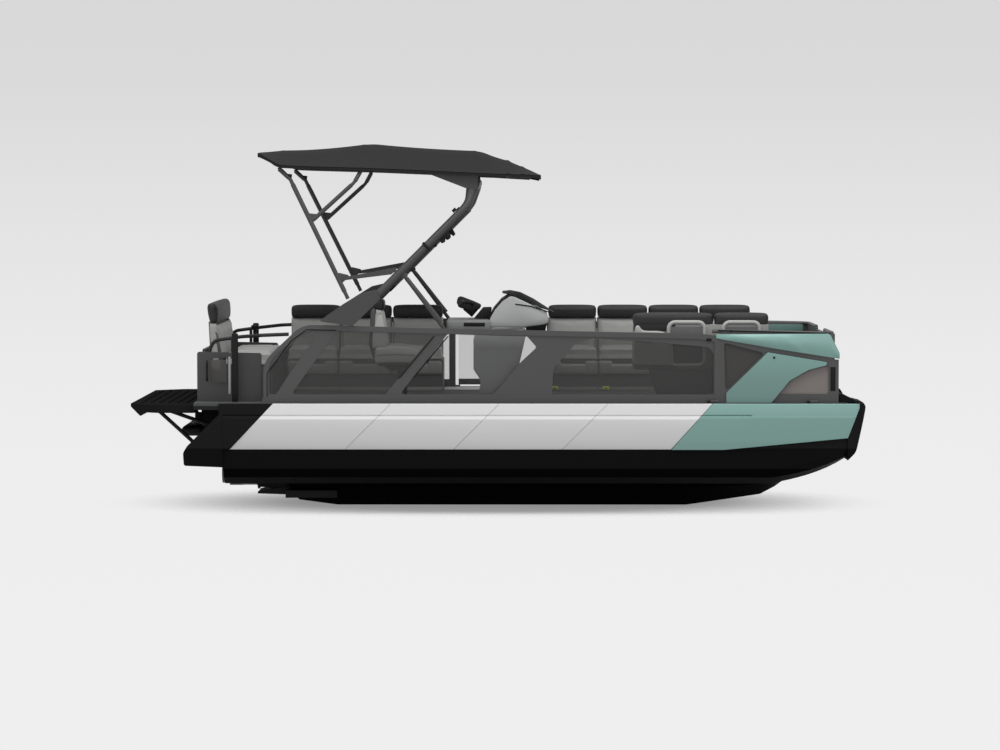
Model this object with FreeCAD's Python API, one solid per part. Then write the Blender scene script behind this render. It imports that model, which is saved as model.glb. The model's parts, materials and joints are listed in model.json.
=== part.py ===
import FreeCAD, Part
import math
import os

from FreeCAD import Vector

# A pontoon boat on three hulls, driven by a water jet. Millimetres throughout.
# X points to the bow, Y to port and Z up. The origin is on the floor, in the middle
# of the length and of the beam, and the flat of the centre hull rests on that floor.

# Whole boat
boat_length = 6440.0
beam = 2570.0
deck_z = 980.0
bow_x = boat_length / 2.0
stern_x = -boat_length / 2.0
side_y = beam / 2.0
seam = 4.0
fit_gap = 0.3
swing_gap = 8.0

# Deck
floor_thickness = 25.0
frame_thickness = 35.0
frame_bottom_z = deck_z - floor_thickness - frame_thickness
deck_rear_from_stern = 580.0
deck_rear_x = stern_x + deck_rear_from_stern
deck_front_from_bow = 100.0
deck_front_x = bow_x - deck_front_from_bow
deck_corner = 150.0
tile_pitch = 483.0
tile_groove = 5.0
beam_pitch = 600.0
beam_width = 60.0
beam_depth = 60.0
apron_depth = 130.0
apron_thickness = 50.0

# Outer hulls
cladding_thickness = 23.0
hull_width = 482.0
hull_outer_y = side_y - cladding_thickness
hull_inner_y = hull_outer_y - hull_width
hull_bottom_z = 262.0
hull_chine_z = 416.0
hull_flat_inset_in = 120.0
hull_flat_inset_out = 200.0
hull_stern_from_stern = 836.0
hull_stern_x = stern_x + hull_stern_from_stern
hull_rise_from_bow = 820.0
hull_rise_x = bow_x - hull_rise_from_bow
hull_stem_from_bow = 165.0
hull_stem_x = bow_x - hull_stem_from_bow
hull_stem_z = 482.0
hull_bow_steps = 8
bow_taper = 70.0

# Centre hull
centre_width = 860.0
centre_flat_width = 560.0
centre_chine_z = 170.0
centre_stern_from_stern = 1060.0
centre_stern_x = stern_x + centre_stern_from_stern
centre_lift_from_stern = 1783.0
centre_lift_x = stern_x + centre_lift_from_stern
centre_rise_from_bow = 1520.0
centre_rise_x = bow_x - centre_rise_from_bow
centre_tip_from_bow = 170.0
centre_tip_x = bow_x - centre_tip_from_bow
centre_tip_width = 460.0
pump_roof_z = 160.0
transom_box_bottom_z = 700.0
transom_box_inset = 10.0
transom_box_half = centre_width / 2.0 - transom_box_inset

# Engine and its bay
engine_length = 820.0
engine_width = 520.0
engine_height = 520.0
engine_from_stern = 1750.0
engine_x = stern_x + engine_from_stern
engine_bay_floor_z = 250.0
engine_bay_gap = 60.0

# Side cladding
cladding_top_under_deck = 4.0
cladding_top_z = deck_z - cladding_top_under_deck
cladding_bottom_z = 574.0
cladding_step = 6.0
groove_z = 873.0
groove_depth = 10.0
groove_half = 7.0
shoulder_drop = 20.0
tuck_height = 66.0
white_lean = 380.0
white_rear_from_stern = 891.0
white_rear_x = stern_x + white_rear_from_stern
white_front_from_bow = 1704.0
white_front_x = bow_x - white_front_from_bow
white_front_lean = 360.0
panel_seam_pitch = 945.0
panel_seam_lean = 364.0
panel_seam_count = 3
panel_seam_front_gap = 949.0
teal_bottom_start = 460.0
teal_front_rise = 101.0
stem_lean = 101.0
stem_lean_z = 937.0
groove_end_from_bow = 999.0
groove_end_x = bow_x - groove_end_from_bow

# Stern quarters
quarter_low_z = 420.0
quarter_heel_from_stern = 495.0
quarter_heel_x = stern_x + quarter_heel_from_stern
quarter_heel_z = 434.0
quarter_tail_from_stern = 488.0
quarter_tail_x = stern_x + quarter_tail_from_stern
quarter_tail_z = 546.0
quarter_back_from_stern = 524.0
quarter_back_x = stern_x + quarter_back_from_stern
quarter_back_z = 606.0
quarter_top_from_stern = 801.0
quarter_top_x = stern_x + quarter_top_from_stern
quarter_top_z = 880.0

# Bow bumpers
bumper_knee_from_bow = 93.0
bumper_knee_x = bow_x - bumper_knee_from_bow
bumper_knee_z = 554.0
bumper_tip_z = 944.0
bumper_corner = 130.0
bumper_cap_from_bow = 232.0
bumper_cap_x = bow_x - bumper_cap_from_bow
bumper_cap_height = 78.0
bumper_cap_inset = 90.0

# Swim platform and what carries it
platform_top_under_deck = 22.0
platform_top_z = deck_z - platform_top_under_deck
platform_thickness = 70.0
platform_inset = 105.0
platform_half = side_y - platform_inset
platform_rear_taper = 180.0
platform_rear_half = platform_half - platform_rear_taper
platform_lip_drop = 105.0
platform_lip_x = 94.0
platform_lip_width = 66.0
platform_corner_x = 260.0
strut_inset = 150.0
strut_y = hull_inner_y + strut_inset
strut_radius = 17.0
strut_pad = 80.0
strut_pad_thickness = 12.0
strut_top_from_stern = 236.0
strut_top_x = stern_x + strut_top_from_stern
short_strut_top_from_stern = 300.0
short_strut_top_x = stern_x + short_strut_top_from_stern
short_strut_foot_z = 760.0
short_strut_inset = 80.0
short_strut_y = hull_inner_y + short_strut_inset
slot_width = 14.0
slot_pitch = 80.0
slot_depth = 8.0

# Boarding ladder, folded under the platform
ladder_hinge_from_stern = 190.0
ladder_hinge_x = stern_x + ladder_hinge_from_stern
ladder_drop = 22.0
ladder_gap = 30.0
ladder_centre_gap = 50.0
ladder_outer_y = hull_inner_y - ladder_gap
ladder_inner_y = centre_width / 2.0 + ladder_centre_gap
ladder_length = 640.0
ladder_tube = 12.0
ladder_steps = 3
ladder_lug = 10.0
ladder_lug_reach = 26.0
ladder_pin = 9.0

# Jet drive
jet_z = 270.0
pump_radius = 115.0
pump_flange = 150.0
pump_flange_thickness = 18.0
pump_length = 170.0
snout_radius = 60.0
snout_bore = 48.0
nozzle_inner = 85.0
nozzle_wall = 12.0
nozzle_ahead = 15.0
nozzle_behind = 90.0
nozzle_pivot_from_flange = 250.0
nozzle_pin = 8.0
nozzle_ear = 12.0
nozzle_ear_half = 25.0
bucket_pivot_from_flange = 80.0
bucket_radius = 310.0
bucket_wall = 12.0
bucket_half_angle = 22.0
bucket_raise = 75.0
bucket_arm_y = 140.0
bucket_pin = 10.0
ride_plate_half = 200.0
ride_plate_rear_from_stern = 1052.0
ride_plate_rear_x = stern_x + ride_plate_rear_from_stern
ride_plate_front_from_stern = 1313.0
ride_plate_front_x = stern_x + ride_plate_front_from_stern
ride_plate_low_z = 83.0
strake_rear_from_stern = 1320.0
strake_rear_x = stern_x + strake_rear_from_stern
strake_front_from_stern = 1783.0
strake_front_x = stern_x + strake_front_from_stern
strake_low_z = 75.0
strake_high_z = 141.0
strake_out = centre_width / 2.0
strake_width = 130.0

# Eyes for towing and lifting
eye_radius = 12.0
eye_plate = 16.0
eye_reach = 60.0
eye_width = 90.0
eye_hole_share = 0.45
bow_eye_z = 712.0
stern_eye_y = 320.0
stern_eye_z = 552.0

# Fence along the sides
fence_inset = 115.0
fence_y = side_y - fence_inset
fence_rail_width = 44.0
fence_panel_width = 20.0
fence_pane = 8.0
fence_rail = 46.0
fence_foot = 61.0
fence_top_over_deck = 681.0
fence_top_z = deck_z + fence_top_over_deck
fence_rear_from_stern = 1184.0
fence_rear_x = stern_x + fence_rear_from_stern
fence_rear_lean = 340.0
fence_rear_knee_over_deck = 360.0
fence_rear_knee_z = deck_z + fence_rear_knee_over_deck
fence_bend = 240.0
fence_front_from_bow = 1262.0
fence_front_x = bow_x - fence_front_from_bow
fence_post = 60.0
fence_front_over_deck = 563.0
fence_front_z = deck_z + fence_front_over_deck
fence_fall_from_fence_front = 190.0
fence_fall_x = fence_front_x - fence_fall_from_fence_front
fence_mid_over_deck = 628.0
fence_mid_z = deck_z + fence_mid_over_deck
fence_top_fall = 34.0
window_corner = 18.0
window_foot_over_deck = 72.0
window_foot_z = deck_z + window_foot_over_deck
window_rail_gap = 8.0

# Port gate
gate_rear_x = -400.0
gate_front_x = 462.0
gate_lift = 20.0
gate_top_drop = 28.0
gate_thickness = 36.0
gate_hinge_gap = 30.0
gate_latch_gap = 10.0
gate_rail = 50.0
gate_pin = 6.0
gate_lug = 12.0

# Bow fence, beaks and gate
bow_fence_front_from_bow = 270.0
bow_fence_front_x = bow_x - bow_fence_front_from_bow
bow_fence_thickness = 30.0
bow_post_from_bow = 319.0
bow_post_x = bow_x - bow_post_from_bow
bow_post_width = 80.0
bow_post_top_over_deck = 375.0
bow_post_top_z = deck_z + bow_post_top_over_deck
bow_rail_over_deck = 624.0
bow_rail_z = deck_z + bow_rail_over_deck
bow_rail_fall = 24.0
bow_rail_radius = 16.0
bow_gate_half = 400.0
beak_out = 48.0
beak_reach_from_bow = 224.0
beak_reach = bow_x - beak_reach_from_bow
beak_corner = 160.0
beak_rear_from_bow = 1310.0
beak_flare_from_bow = 1150.0
beak_top_front_from_bow = 319.0
beak_tip_over_deck = 418.0
beak_chin_over_deck = 382.0
beak_chin_back = 11.0
beak_foot_middle_from_bow = 761.0
beak_foot_middle_over_deck = 467.0
beak_foot_rear_from_bow = 1240.0
beak_foot_rear_over_deck = 549.0
lower_panel_out = 22.0
lower_panel_rear_from_bow = 1219.0
lower_panel_rear_over_deck = 87.0
lower_panel_peak_from_bow = 859.0
lower_panel_peak_over_deck = 441.0
lower_panel_tip_from_bow = 339.0
lower_panel_tip_over_deck = 354.0
lower_panel_lip_from_bow = 352.0
lower_panel_lip_over_deck = 327.0
lower_panel_curve_from_bow = 505.0
lower_panel_curve_over_deck = 287.0
lower_panel_heel_from_bow = 666.0
lower_panel_heel_over_deck = 194.0
lower_panel_foot_from_bow = 826.0
lower_panel_lift = 1.0

# Stern fence and gate
stern_fence_inset = 170.0
stern_fence_y = fence_y - stern_fence_inset
stern_fence_from_stern = 620.0
stern_fence_x = stern_x + stern_fence_from_stern
stern_fence_thickness = 30.0
stern_fence_top_over_deck = 436.0
stern_fence_top_z = deck_z + stern_fence_top_over_deck
stern_fence_front_from_stern = 1154.0
stern_fence_front_x = stern_x + stern_fence_front_from_stern
stern_rail_radius = 16.0
stern_gate_width = 490.0
stern_gate_hinge_gap = 26.0

# Benches
bench_fence_gap = 70.0
bench_depth = 550.0
bench_back_depth = 100.0
bench_outer_y = fence_y - bench_fence_gap
bench_front_y = bench_outer_y - bench_depth
bench_back_y = bench_outer_y - bench_back_depth
bench_wall = 20.0
bench_floor = 15.0
seat_over_deck = 284.0
seat_z = deck_z + seat_over_deck
cushion_thickness = 129.0
back_gap = 8.0
back_top_over_deck = 663.0
back_top_z = deck_z + back_top_over_deck
roll_top_over_deck = 782.0
roll_top_z = deck_z + roll_top_over_deck
roll_overhang = 18.0
unit_gap = 6.0
rest_reach = 258.0
rest_top_over_deck = 672.0
rest_top_z = deck_z + rest_top_over_deck
rest_brow_over_deck = 608.0
rest_brow_z = deck_z + rest_brow_over_deck
rest_brow_run = 175.0
bench_end_lean = 88.0
rest_rear_lean = 156.0
aft_bench_gate_gap = 104.0
port_aft_bench_x = (stern_x + 1267.0, gate_rear_x - aft_bench_gate_gap)
port_fore_bench_x = (gate_front_x, bow_x - 840.0)
starboard_bench_x = (1342.0, bow_x - 837.0)
stern_bench_gap = 40.0
stern_bench_width = 1410.0
stern_bench_y = (stern_fence_y - stern_bench_gap - stern_bench_width, stern_fence_y - stern_bench_gap)
stern_bench_rear_from_stern = 645.0
stern_bench_rear_x = stern_x + stern_bench_rear_from_stern
stern_bench_depth = 565.0
stern_back_depth = 130.0
stern_roll_top_over_deck = 845.0
stern_roll_top_z = deck_z + stern_roll_top_over_deck
stern_back_lean = 30.0

# Helm console: runs are from the console's rear face, heights from the deck
console_rear_x = -204.0
console_fence_gap = 80.0
console_width = 670.0
console_y = (console_fence_gap - fence_y, console_fence_gap + console_width - fence_y)
console_rear_foot_run = 40.0
console_toe_run = 62.0
console_toe_height = 190.0
console_knee_height = 286.0
console_shelf_height = 550.0
console_front_run = 399.0
console_front_height = 320.0
console_nose_run = 470.0
console_nose_height = 635.0
footwell_wall = 140.0
footwell_y = (console_y[0] + footwell_wall, console_y[1] - footwell_wall)
footwell_run = 264.0
footwell_low = 80.0
footwell_high = 500.0
dash_inset = 30.0
dash_rear_run = 24.0
dash_rear_height = 620.0
dash_pad_run = 144.0
dash_pad_height = 725.0
dash_peak_run = 319.0
dash_peak_height = 920.0
dash_brow_run = 656.0
dash_brow_height = 784.0
dash_nose_run = 668.0
dash_nose_height = 684.0
visor_rear_run = 246.0
visor_bend_run = 395.0
visor_front_run = 672.0
visor_rear_lift = 40.0
visor_bend_lift = 44.0
visor_front_lift = 26.0
visor_thickness = 12.0
visor_inset = 60.0

# Steering: the column stands on the slope of the dash
column_run = 104.0
column_tilt = 50.0
column_radius = 28.0
column_length = 110.0
bar_half = 320.0
bar_radius = 12.0
grip_radius = 18.0
grip_length = 130.0
bar_sweep = 30.0
bar_rise = 170.0

# Helm chair: runs are from its swivel axis, heights from the deck
chair_x = -850.0
chair_inboard = 305.0
chair_y = (console_y[0] + console_y[1]) / 2.0 + chair_inboard
pedestal_foot = 160.0
pedestal_radius = 45.0
pedestal_plate = 12.0
pedestal_height = 247.0
chair_half = 240.0
chair_seat_rear = 240.0
chair_seat_front = 230.0
chair_seat_low = 284.0
chair_seat_high = 450.0
chair_back_rear = 300.0
chair_back_depth = 130.0
chair_back_lean = 50.0
chair_back_height = 810.0
chair_head_half = 130.0
chair_head_height = 885.0
arm_height = 550.0
arm_width = 45.0

# Tower: runs are from the foot of the arch's leg, heights from the fence's top
tower_from_fence_rear = 930.0
tower_x = fence_rear_x + tower_from_fence_rear
tower_out = 8.0
tower_y = fence_y + tower_out
tower_base_width = 110.0
tower_radius = 52.0
tower_foot_run = -20.0
tower_foot_rise = 165.0
tower_knee_run = 855.0
tower_head_run = 907.0
tower_head_rise = 1239.0
tower_knee_drop = 199.0
tower_knee_rise = tower_head_rise - tower_knee_drop
tower_bend = 260.0
gusset_width = 36.0
gusset_run = 450.0
strut_tube = 16.5
upper_strut_tube = 15.0
strut_knee_run = -700.0
strut_knee_rise = 29.0
strut_head_run = -800.0
strut_foot_run = -190.0
strut_foot_rise = 226.0
upper_strut_share = 0.36
upper_strut_knee_run = -135.0
upper_strut_head_run = -78.0
tie_rear_share = 0.84
tie_thickness = 14.0
tie_rear_depth = 26.0
tie_front_depth = 56.0
tie_front_run = 230.0
tie_front_lift = 55.0
brace_high_run = 290.0
brace_high_drop = 35.0
brace_low_run = 655.0
brace_in = 20.0
brace_y = fence_y - brace_in

# Canopy: (run from the tower's foot, drop of the crown, drop of the edge), both below the canopy's top
canopy_over_head = 347.0
canopy_top_z = fence_top_z + tower_head_rise + canopy_over_head
canopy_inset = 70.0
canopy_half = fence_y - canopy_inset
canopy_slope_width = 480.0
canopy_flat_half = canopy_half - canopy_slope_width
canopy_skin = 24.0
canopy_stations = [(-979.0, 77.0, 87.0), (-797.0, 59.0, 195.0), (-601.0, 47.0, 205.0), (22.0, 0.0, 223.0),
                   (450.0, 29.0, 241.0), (985.0, 68.0, 267.0), (1198.0, 149.0, 275.0),
                   (1430.0, 247.0, 281.0),
                   (1492.0, 281.0, 289.0)]
canopy_rail_inset = 60.0
canopy_rail_y = canopy_half - canopy_rail_inset
tower_top_inset = 90.0
tower_top_y = canopy_half - tower_top_inset
canopy_rail_radius = 14.0
canopy_bow_radius = 12.5
canopy_rail_ends = (-860.0, 1400.0)


# Shapes that the pieces are made from
def box(x_low, x_high, y_low, y_high, z_low, z_high):
    return Part.makeBox(x_high - x_low, y_high - y_low, z_high - z_low, Vector(x_low, y_low, z_low))


def side_vector(x, z):
    return Vector(x, 0, z)


def plan_vector(x, y):
    return Vector(x, y, 0)


def end_vector(y, z):
    return Vector(0, y, z)


def rounded_wire(corners, place, closed=True):
    """Lines through the corners, each (u, v) or (u, v, radius of its arc)."""
    points = [place(corner[0], corner[1]) for corner in corners]
    radii = [corner[2] if len(corner) > 2 else 0.0 for corner in corners]
    count = len(points)
    edges = []
    ends = []
    for index in range(count):
        at_end = not closed and index in (0, count - 1)
        here = points[index]
        if radii[index] <= 0 or at_end:
            ends.append((here, here, None))
            continue
        back = (points[index - 1] - here).normalize()
        ahead = (points[(index + 1) % count] - here).normalize()
        half = back.getAngle(ahead) / 2.0
        room = min((points[index - 1] - here).Length, (points[(index + 1) % count] - here).Length)
        set_back = min(radii[index] / math.tan(half), 0.48 * room)
        radius = set_back * math.tan(half)
        middle = here + (back + ahead).normalize() * (radius / math.sin(half) - radius)
        ends.append((here + back * set_back, here + ahead * set_back, middle))
    last = count if closed else count - 1
    for index in range(count):
        first, second, middle = ends[index]
        if middle is not None:
            edges.append(Part.Arc(first, middle, second).toShape())
        if index < last:
            start = ends[(index + 1) % count][0]
            if second.distanceToPoint(start) > 0.001:
                edges.append(Part.LineSegment(second, start).toShape())
    return Part.Wire(edges)


def side_prism(corners, y_low, y_high):
    """An outline seen from the side, (x, z), carried from y_low to y_high."""
    face = Part.Face(rounded_wire(corners, side_vector))
    face.translate(Vector(0, y_low, 0))
    return face.extrude(Vector(0, y_high - y_low, 0))


def plan_prism(corners, z_low, z_high):
    """An outline seen from above, (x, y), carried from z_low to z_high."""
    face = Part.Face(rounded_wire(corners, plan_vector))
    face.translate(Vector(0, 0, z_low))
    return face.extrude(Vector(0, 0, z_high - z_low))


def end_prism(corners, x_low, x_high):
    """An outline seen from the stern, (y, z), carried from x_low to x_high."""
    face = Part.Face(rounded_wire(corners, end_vector))
    face.translate(Vector(x_low, 0, 0))
    return face.extrude(Vector(x_high - x_low, 0, 0))


def loft_along_x(sections):
    """A body through sections (x, [(y, z), ...]) that have as many points each."""
    wires = []
    for x, outline in sections:
        points = [Vector(x, y, z) for y, z in outline]
        wires.append(Part.makePolygon(points + points[:1]))
    return Part.makeLoft(wires, True, True)


def rod(start, end, radius):
    return Part.makeCylinder(radius, (end - start).Length, start, end - start)


def bent_tube(points, radius, bend):
    """A round tube through the points, with an arc at each corner."""
    count = len(points)
    edges = []
    previous = points[0]
    for index in range(1, count - 1):
        here = points[index]
        back = (points[index - 1] - here).normalize()
        ahead = (points[index + 1] - here).normalize()
        half = back.getAngle(ahead) / 2.0
        room = min((points[index - 1] - here).Length, (points[index + 1] - here).Length)
        set_back = min(bend / math.tan(half), 0.45 * room)
        arc_radius = set_back * math.tan(half)
        middle = here + (back + ahead).normalize() * (arc_radius / math.sin(half) - arc_radius)
        first = here + back * set_back
        edges.append(Part.LineSegment(previous, first).toShape())
        edges.append(Part.Arc(first, middle, here + ahead * set_back).toShape())
        previous = here + ahead * set_back
    edges.append(Part.LineSegment(previous, points[-1]).toShape())
    profile = Part.Wire(Part.makeCircle(radius, points[0], points[1] - points[0]))
    return Part.Wire(edges).makePipeShell([profile], True, True)


def rod_chain(points, radius):
    """Straight rods from point to point, with a ball at each joint between them."""
    pieces = [rod(start, end, radius) for start, end in zip(points, points[1:])]
    return fuse_all(pieces + [Part.makeSphere(radius, point) for point in points[1:-1]])


def mitred_tube(points, radius):
    """A round tube through the points, mitred at each corner."""
    mitred = 1
    profile = Part.Wire(Part.makeCircle(radius, points[0], points[1] - points[0]))
    return Part.makePolygon(points).makePipeShell([profile], True, True, mitred)


def fuse_all(shapes):
    joined = shapes[0]
    for shape in shapes[1:]:
        joined = joined.fuse(shape)
    return joined.removeSplitter()


def to_port(shape):
    return shape.mirror(Vector(0, 0, 0), Vector(0, 1, 0))


def on_both_sides(shape):
    return Part.makeCompound([shape, to_port(shape)])


def starboard_prism(corners, near_y, far_y):
    """A side outline between two distances from the centre line, on the starboard side."""
    return side_prism(corners, -max(near_y, far_y), -min(near_y, far_y))


def largest(shape):
    """The shape without the chips that a cut left behind it."""
    return max(shape.Solids, key=lambda solid: solid.Volume)


def eased(shape, radius, wanted):
    """The shape with the edges that wanted(edge) picks rounded to the radius."""
    edges = [edge for edge in shape.Edges if wanted(edge)]
    return shape.makeFillet(radius, edges) if edges else shape


nodes = {}


# Hulls
def outer_hull_section(rise):
    """Half way round the starboard hull at a share of the rise to its stem."""
    keel = hull_bottom_z + (hull_stem_z - hull_bottom_z) * (0.6 * rise + 0.4 * rise ** 3)
    chine = hull_chine_z + (hull_stem_z + 90.0 - hull_chine_z) * rise ** 1.6
    squeeze = bow_taper * rise ** 2
    flat_in = hull_inner_y + hull_flat_inset_in + squeeze
    flat_out = hull_outer_y - hull_flat_inset_out - squeeze
    turn_y = hull_outer_y - 0.3 * hull_flat_inset_out
    turn_z = keel + 0.42 * (chine - keel)
    return [(-hull_inner_y, frame_bottom_z), (-hull_outer_y, frame_bottom_z), (-hull_outer_y, chine),
            (-turn_y, turn_z), (-flat_out, keel), (-flat_in, keel), (-hull_inner_y, chine)]


def outer_hull():
    sections = [(hull_stern_x, outer_hull_section(0.0)), (hull_rise_x, outer_hull_section(0.0))]
    for step in range(1, hull_bow_steps + 1):
        share = step / hull_bow_steps
        x = hull_rise_x + (hull_stem_x - hull_rise_x) * share
        sections.append((x, outer_hull_section(share)))
    sections.append((deck_front_x, outer_hull_section(1.0)))
    hull = loft_along_x(sections)
    ahead = [(hull_stem_x, 0.0), (hull_stem_x, teal_front_z()), (deck_front_x, stem_z_at(deck_front_x)),
             (deck_front_x, deck_z), (bow_x, deck_z), (bow_x, 0.0)]
    return hull.cut(starboard_prism(ahead, 0.0, beam))


def teal_front_z():
    return cladding_bottom_z + teal_front_rise + 2.0


def stem_z_at(x):
    """Height of the teal cladding's raked front edge at x."""
    share = (x - hull_stem_x) / stem_lean
    return teal_front_z() + (stem_lean_z - teal_front_z()) * share


def centre_section(half_top, half_chine, half_flat, chine, keel):
    return [(-half_top, frame_bottom_z), (half_top, frame_bottom_z), (half_chine, chine),
            (half_flat, keel), (-half_flat, keel), (-half_chine, chine)]


def centre_hull():
    half = centre_width / 2.0
    flat = centre_flat_width / 2.0
    chine = centre_chine_z
    tip = centre_tip_width / 2.0
    run = centre_tip_x - centre_rise_x
    sections = [(centre_stern_x, centre_section(half, half, flat, pump_roof_z + 60.0, pump_roof_z)),
                (centre_lift_x - 440.0,
                 centre_section(half, half, flat, pump_roof_z + 50.0, pump_roof_z - 10.0)),
                (centre_lift_x - 348.0, centre_section(half, half, flat, chine, 46.0)),
                (centre_lift_x, centre_section(half, half, flat, chine, 0.0)),
                (centre_rise_x, centre_section(half, half, flat, chine, 0.0))]
    for share in (0.12, 0.25, 0.38, 0.5, 0.6, 0.7, 0.78, 0.86, 0.93, 1.0):
        keel = 0.135 * run * share + 560.0 * max(0.0, share - 0.5) ** 1.35 * 2.0
        side = half + (tip - half) * share ** 2.2
        low = flat * (1.0 - 0.72 * share ** 1.5)
        turn = max(chine + 130.0 * share ** 2, keel + 60.0)
        chine_side = side - 60.0 * share ** 2
        sections.append((centre_rise_x + run * share, centre_section(side, chine_side, low, turn, keel)))
    hull = loft_along_x(sections)
    tail = box(deck_rear_x, centre_stern_x, -transom_box_half, transom_box_half, transom_box_bottom_z,
               frame_bottom_z)
    bay = box(engine_x - engine_length / 2.0 - engine_bay_gap,
              engine_x + engine_length / 2.0 + engine_bay_gap,
              -engine_width / 2.0 - engine_bay_gap, engine_width / 2.0 + engine_bay_gap,
              engine_bay_floor_z, frame_bottom_z + 1.0)
    return hull.fuse(tail).removeSplitter().cut(bay)


nodes["hull_centre"] = centre_hull()
nodes["hull_starboard"] = outer_hull()
nodes["hull_port"] = to_port(nodes["hull_starboard"])
nodes["engine"] = box(engine_x - engine_length / 2.0, engine_x + engine_length / 2.0, -engine_width / 2.0,
                      engine_width / 2.0, engine_bay_floor_z, engine_bay_floor_z + engine_height)


# Deck
def deck_plan(front_x, half):
    return [(deck_rear_x, -half), (front_x - deck_corner, -half, 60.0),
            (front_x, -half + deck_corner, 60.0),
            (front_x, half - deck_corner, 60.0), (front_x - deck_corner, half, 60.0), (deck_rear_x, half)]


def deck_frame():
    plate = plan_prism(deck_plan(deck_front_x, hull_outer_y), frame_bottom_z, deck_z - floor_thickness)
    ribs = [plate]
    tunnel_in = centre_width / 2.0
    rib_low = frame_bottom_z - beam_depth
    x = centre_stern_x + beam_pitch / 2.0
    while x < hull_rise_x:
        for side in (-1, 1):
            ribs.append(box(x, x + beam_width, min(side * tunnel_in, side * hull_inner_y),
                            max(side * tunnel_in, side * hull_inner_y), rib_low, frame_bottom_z))
        x += beam_pitch
    ribs.append(box(deck_front_x - apron_thickness, deck_front_x, -hull_inner_y, hull_inner_y,
                    frame_bottom_z - apron_depth, frame_bottom_z))
    return fuse_all(ribs)


def deck_floor():
    floor = plan_prism(deck_plan(deck_front_x, hull_outer_y), deck_z - floor_thickness, deck_z)
    grooves = []
    x = deck_rear_x + tile_pitch
    while x < deck_front_x - deck_corner:
        grooves.append(box(x, x + tile_groove, -bench_back_y, bench_back_y, deck_z - tile_groove,
                           deck_z + 1.0))
        x += tile_pitch
    for y in (-tile_pitch, 0.0, tile_pitch):
        grooves.append(box(deck_rear_x + tile_pitch, x - tile_pitch, y, y + tile_groove,
                           deck_z - tile_groove, deck_z + 1.0))
    return floor.cut(Part.makeCompound(grooves[:1]).fuse(grooves[1:]))


nodes["deck_frame"] = deck_frame()
nodes["deck_floor"] = deck_floor()


# Side cladding, stern quarters and bow bumpers
def cladding_strip():
    """The cladding's section, seen from the stern, along the whole starboard side."""
    inner = -hull_outer_y
    proud = -side_y
    upper = proud + cladding_step
    outline = [(inner, cladding_top_z), (upper, cladding_top_z, 5.0), (upper, groove_z + groove_half),
               (upper + groove_depth, groove_z), (upper, groove_z - groove_half),
               (proud, groove_z - groove_half - shoulder_drop), (proud, cladding_bottom_z + tuck_height),
               (upper, cladding_bottom_z), (inner, cladding_bottom_z)]
    strip = end_prism(outline, stern_x, bow_x)
    outline_plain = [(inner, cladding_top_z), (upper, cladding_top_z, 5.0), (upper, groove_z),
                     (proud, groove_z - shoulder_drop), (proud, cladding_bottom_z + tuck_height),
                     (upper, cladding_bottom_z), (inner, cladding_bottom_z)]
    plain = end_prism(outline_plain, groove_end_x, bow_x)
    aft = box(stern_x, groove_end_x, proud, inner, 0.0, deck_z)
    return strip.common(aft).fuse(plain).removeSplitter()


def bow_plan():
    """The rounded bow corner, seen from above, as the space that cladding and bumper may fill."""
    return plan_prism([(stern_x, -side_y), (bow_x, -side_y, bumper_corner), (bow_x, 0.0), (stern_x, 0.0)],
                      0.0, deck_z + bumper_cap_height)


strip = cladding_strip()
bow_space = bow_plan()
white_outline = [(white_rear_x, cladding_bottom_z), (white_rear_x + white_lean, cladding_top_z),
                 (white_front_x + white_front_lean, cladding_top_z), (white_front_x, cladding_bottom_z)]
white = strip.common(starboard_prism(white_outline, 0.0, beam))
for number in range(panel_seam_count):
    foot_x = white_front_x - panel_seam_front_gap - number * panel_seam_pitch
    line = [(foot_x, cladding_bottom_z - 1.0), (foot_x + panel_seam_lean, cladding_top_z + 1.0),
            (foot_x + panel_seam_lean + seam, cladding_top_z + 1.0),
            (foot_x + seam, cladding_bottom_z - 1.0)]
    white = white.cut(starboard_prism(line, side_y - seam, beam))
nodes["side_panels"] = on_both_sides(white)

teal_front_x = hull_stem_x + stem_lean
teal_outline = [(white_front_x + seam, cladding_bottom_z),
                (white_front_x + white_front_lean + seam, cladding_top_z),
                (teal_front_x, cladding_top_z), (teal_front_x, stem_lean_z), (hull_stem_x, teal_front_z()),
                (white_front_x + teal_bottom_start, cladding_bottom_z)]
teal = strip.common(starboard_prism(teal_outline, 0.0, beam)).common(bow_space)
nodes["bow_cladding"] = on_both_sides(teal)

quarter_side = [(hull_stern_x, cladding_bottom_z), (hull_stern_x, quarter_top_z),
                (quarter_top_x, quarter_top_z),
                (quarter_top_x, cladding_top_z), (white_rear_x + white_lean - seam, cladding_top_z),
                (white_rear_x - seam, cladding_bottom_z)]
quarter_block = [(hull_stern_x, quarter_low_z), (quarter_heel_x, quarter_heel_z, 20.0),
                 (quarter_tail_x, quarter_tail_z, 60.0),
                 (quarter_back_x, quarter_back_z),
                 (quarter_top_x, quarter_top_z), (quarter_top_x, frame_bottom_z),
                 (hull_stern_x, frame_bottom_z)]
quarter = starboard_prism(quarter_block, hull_inner_y, side_y - cladding_step)
quarter = quarter.fuse(strip.common(starboard_prism(quarter_side, 0.0, beam))).removeSplitter()
nodes["stern_quarters"] = on_both_sides(quarter)

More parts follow.
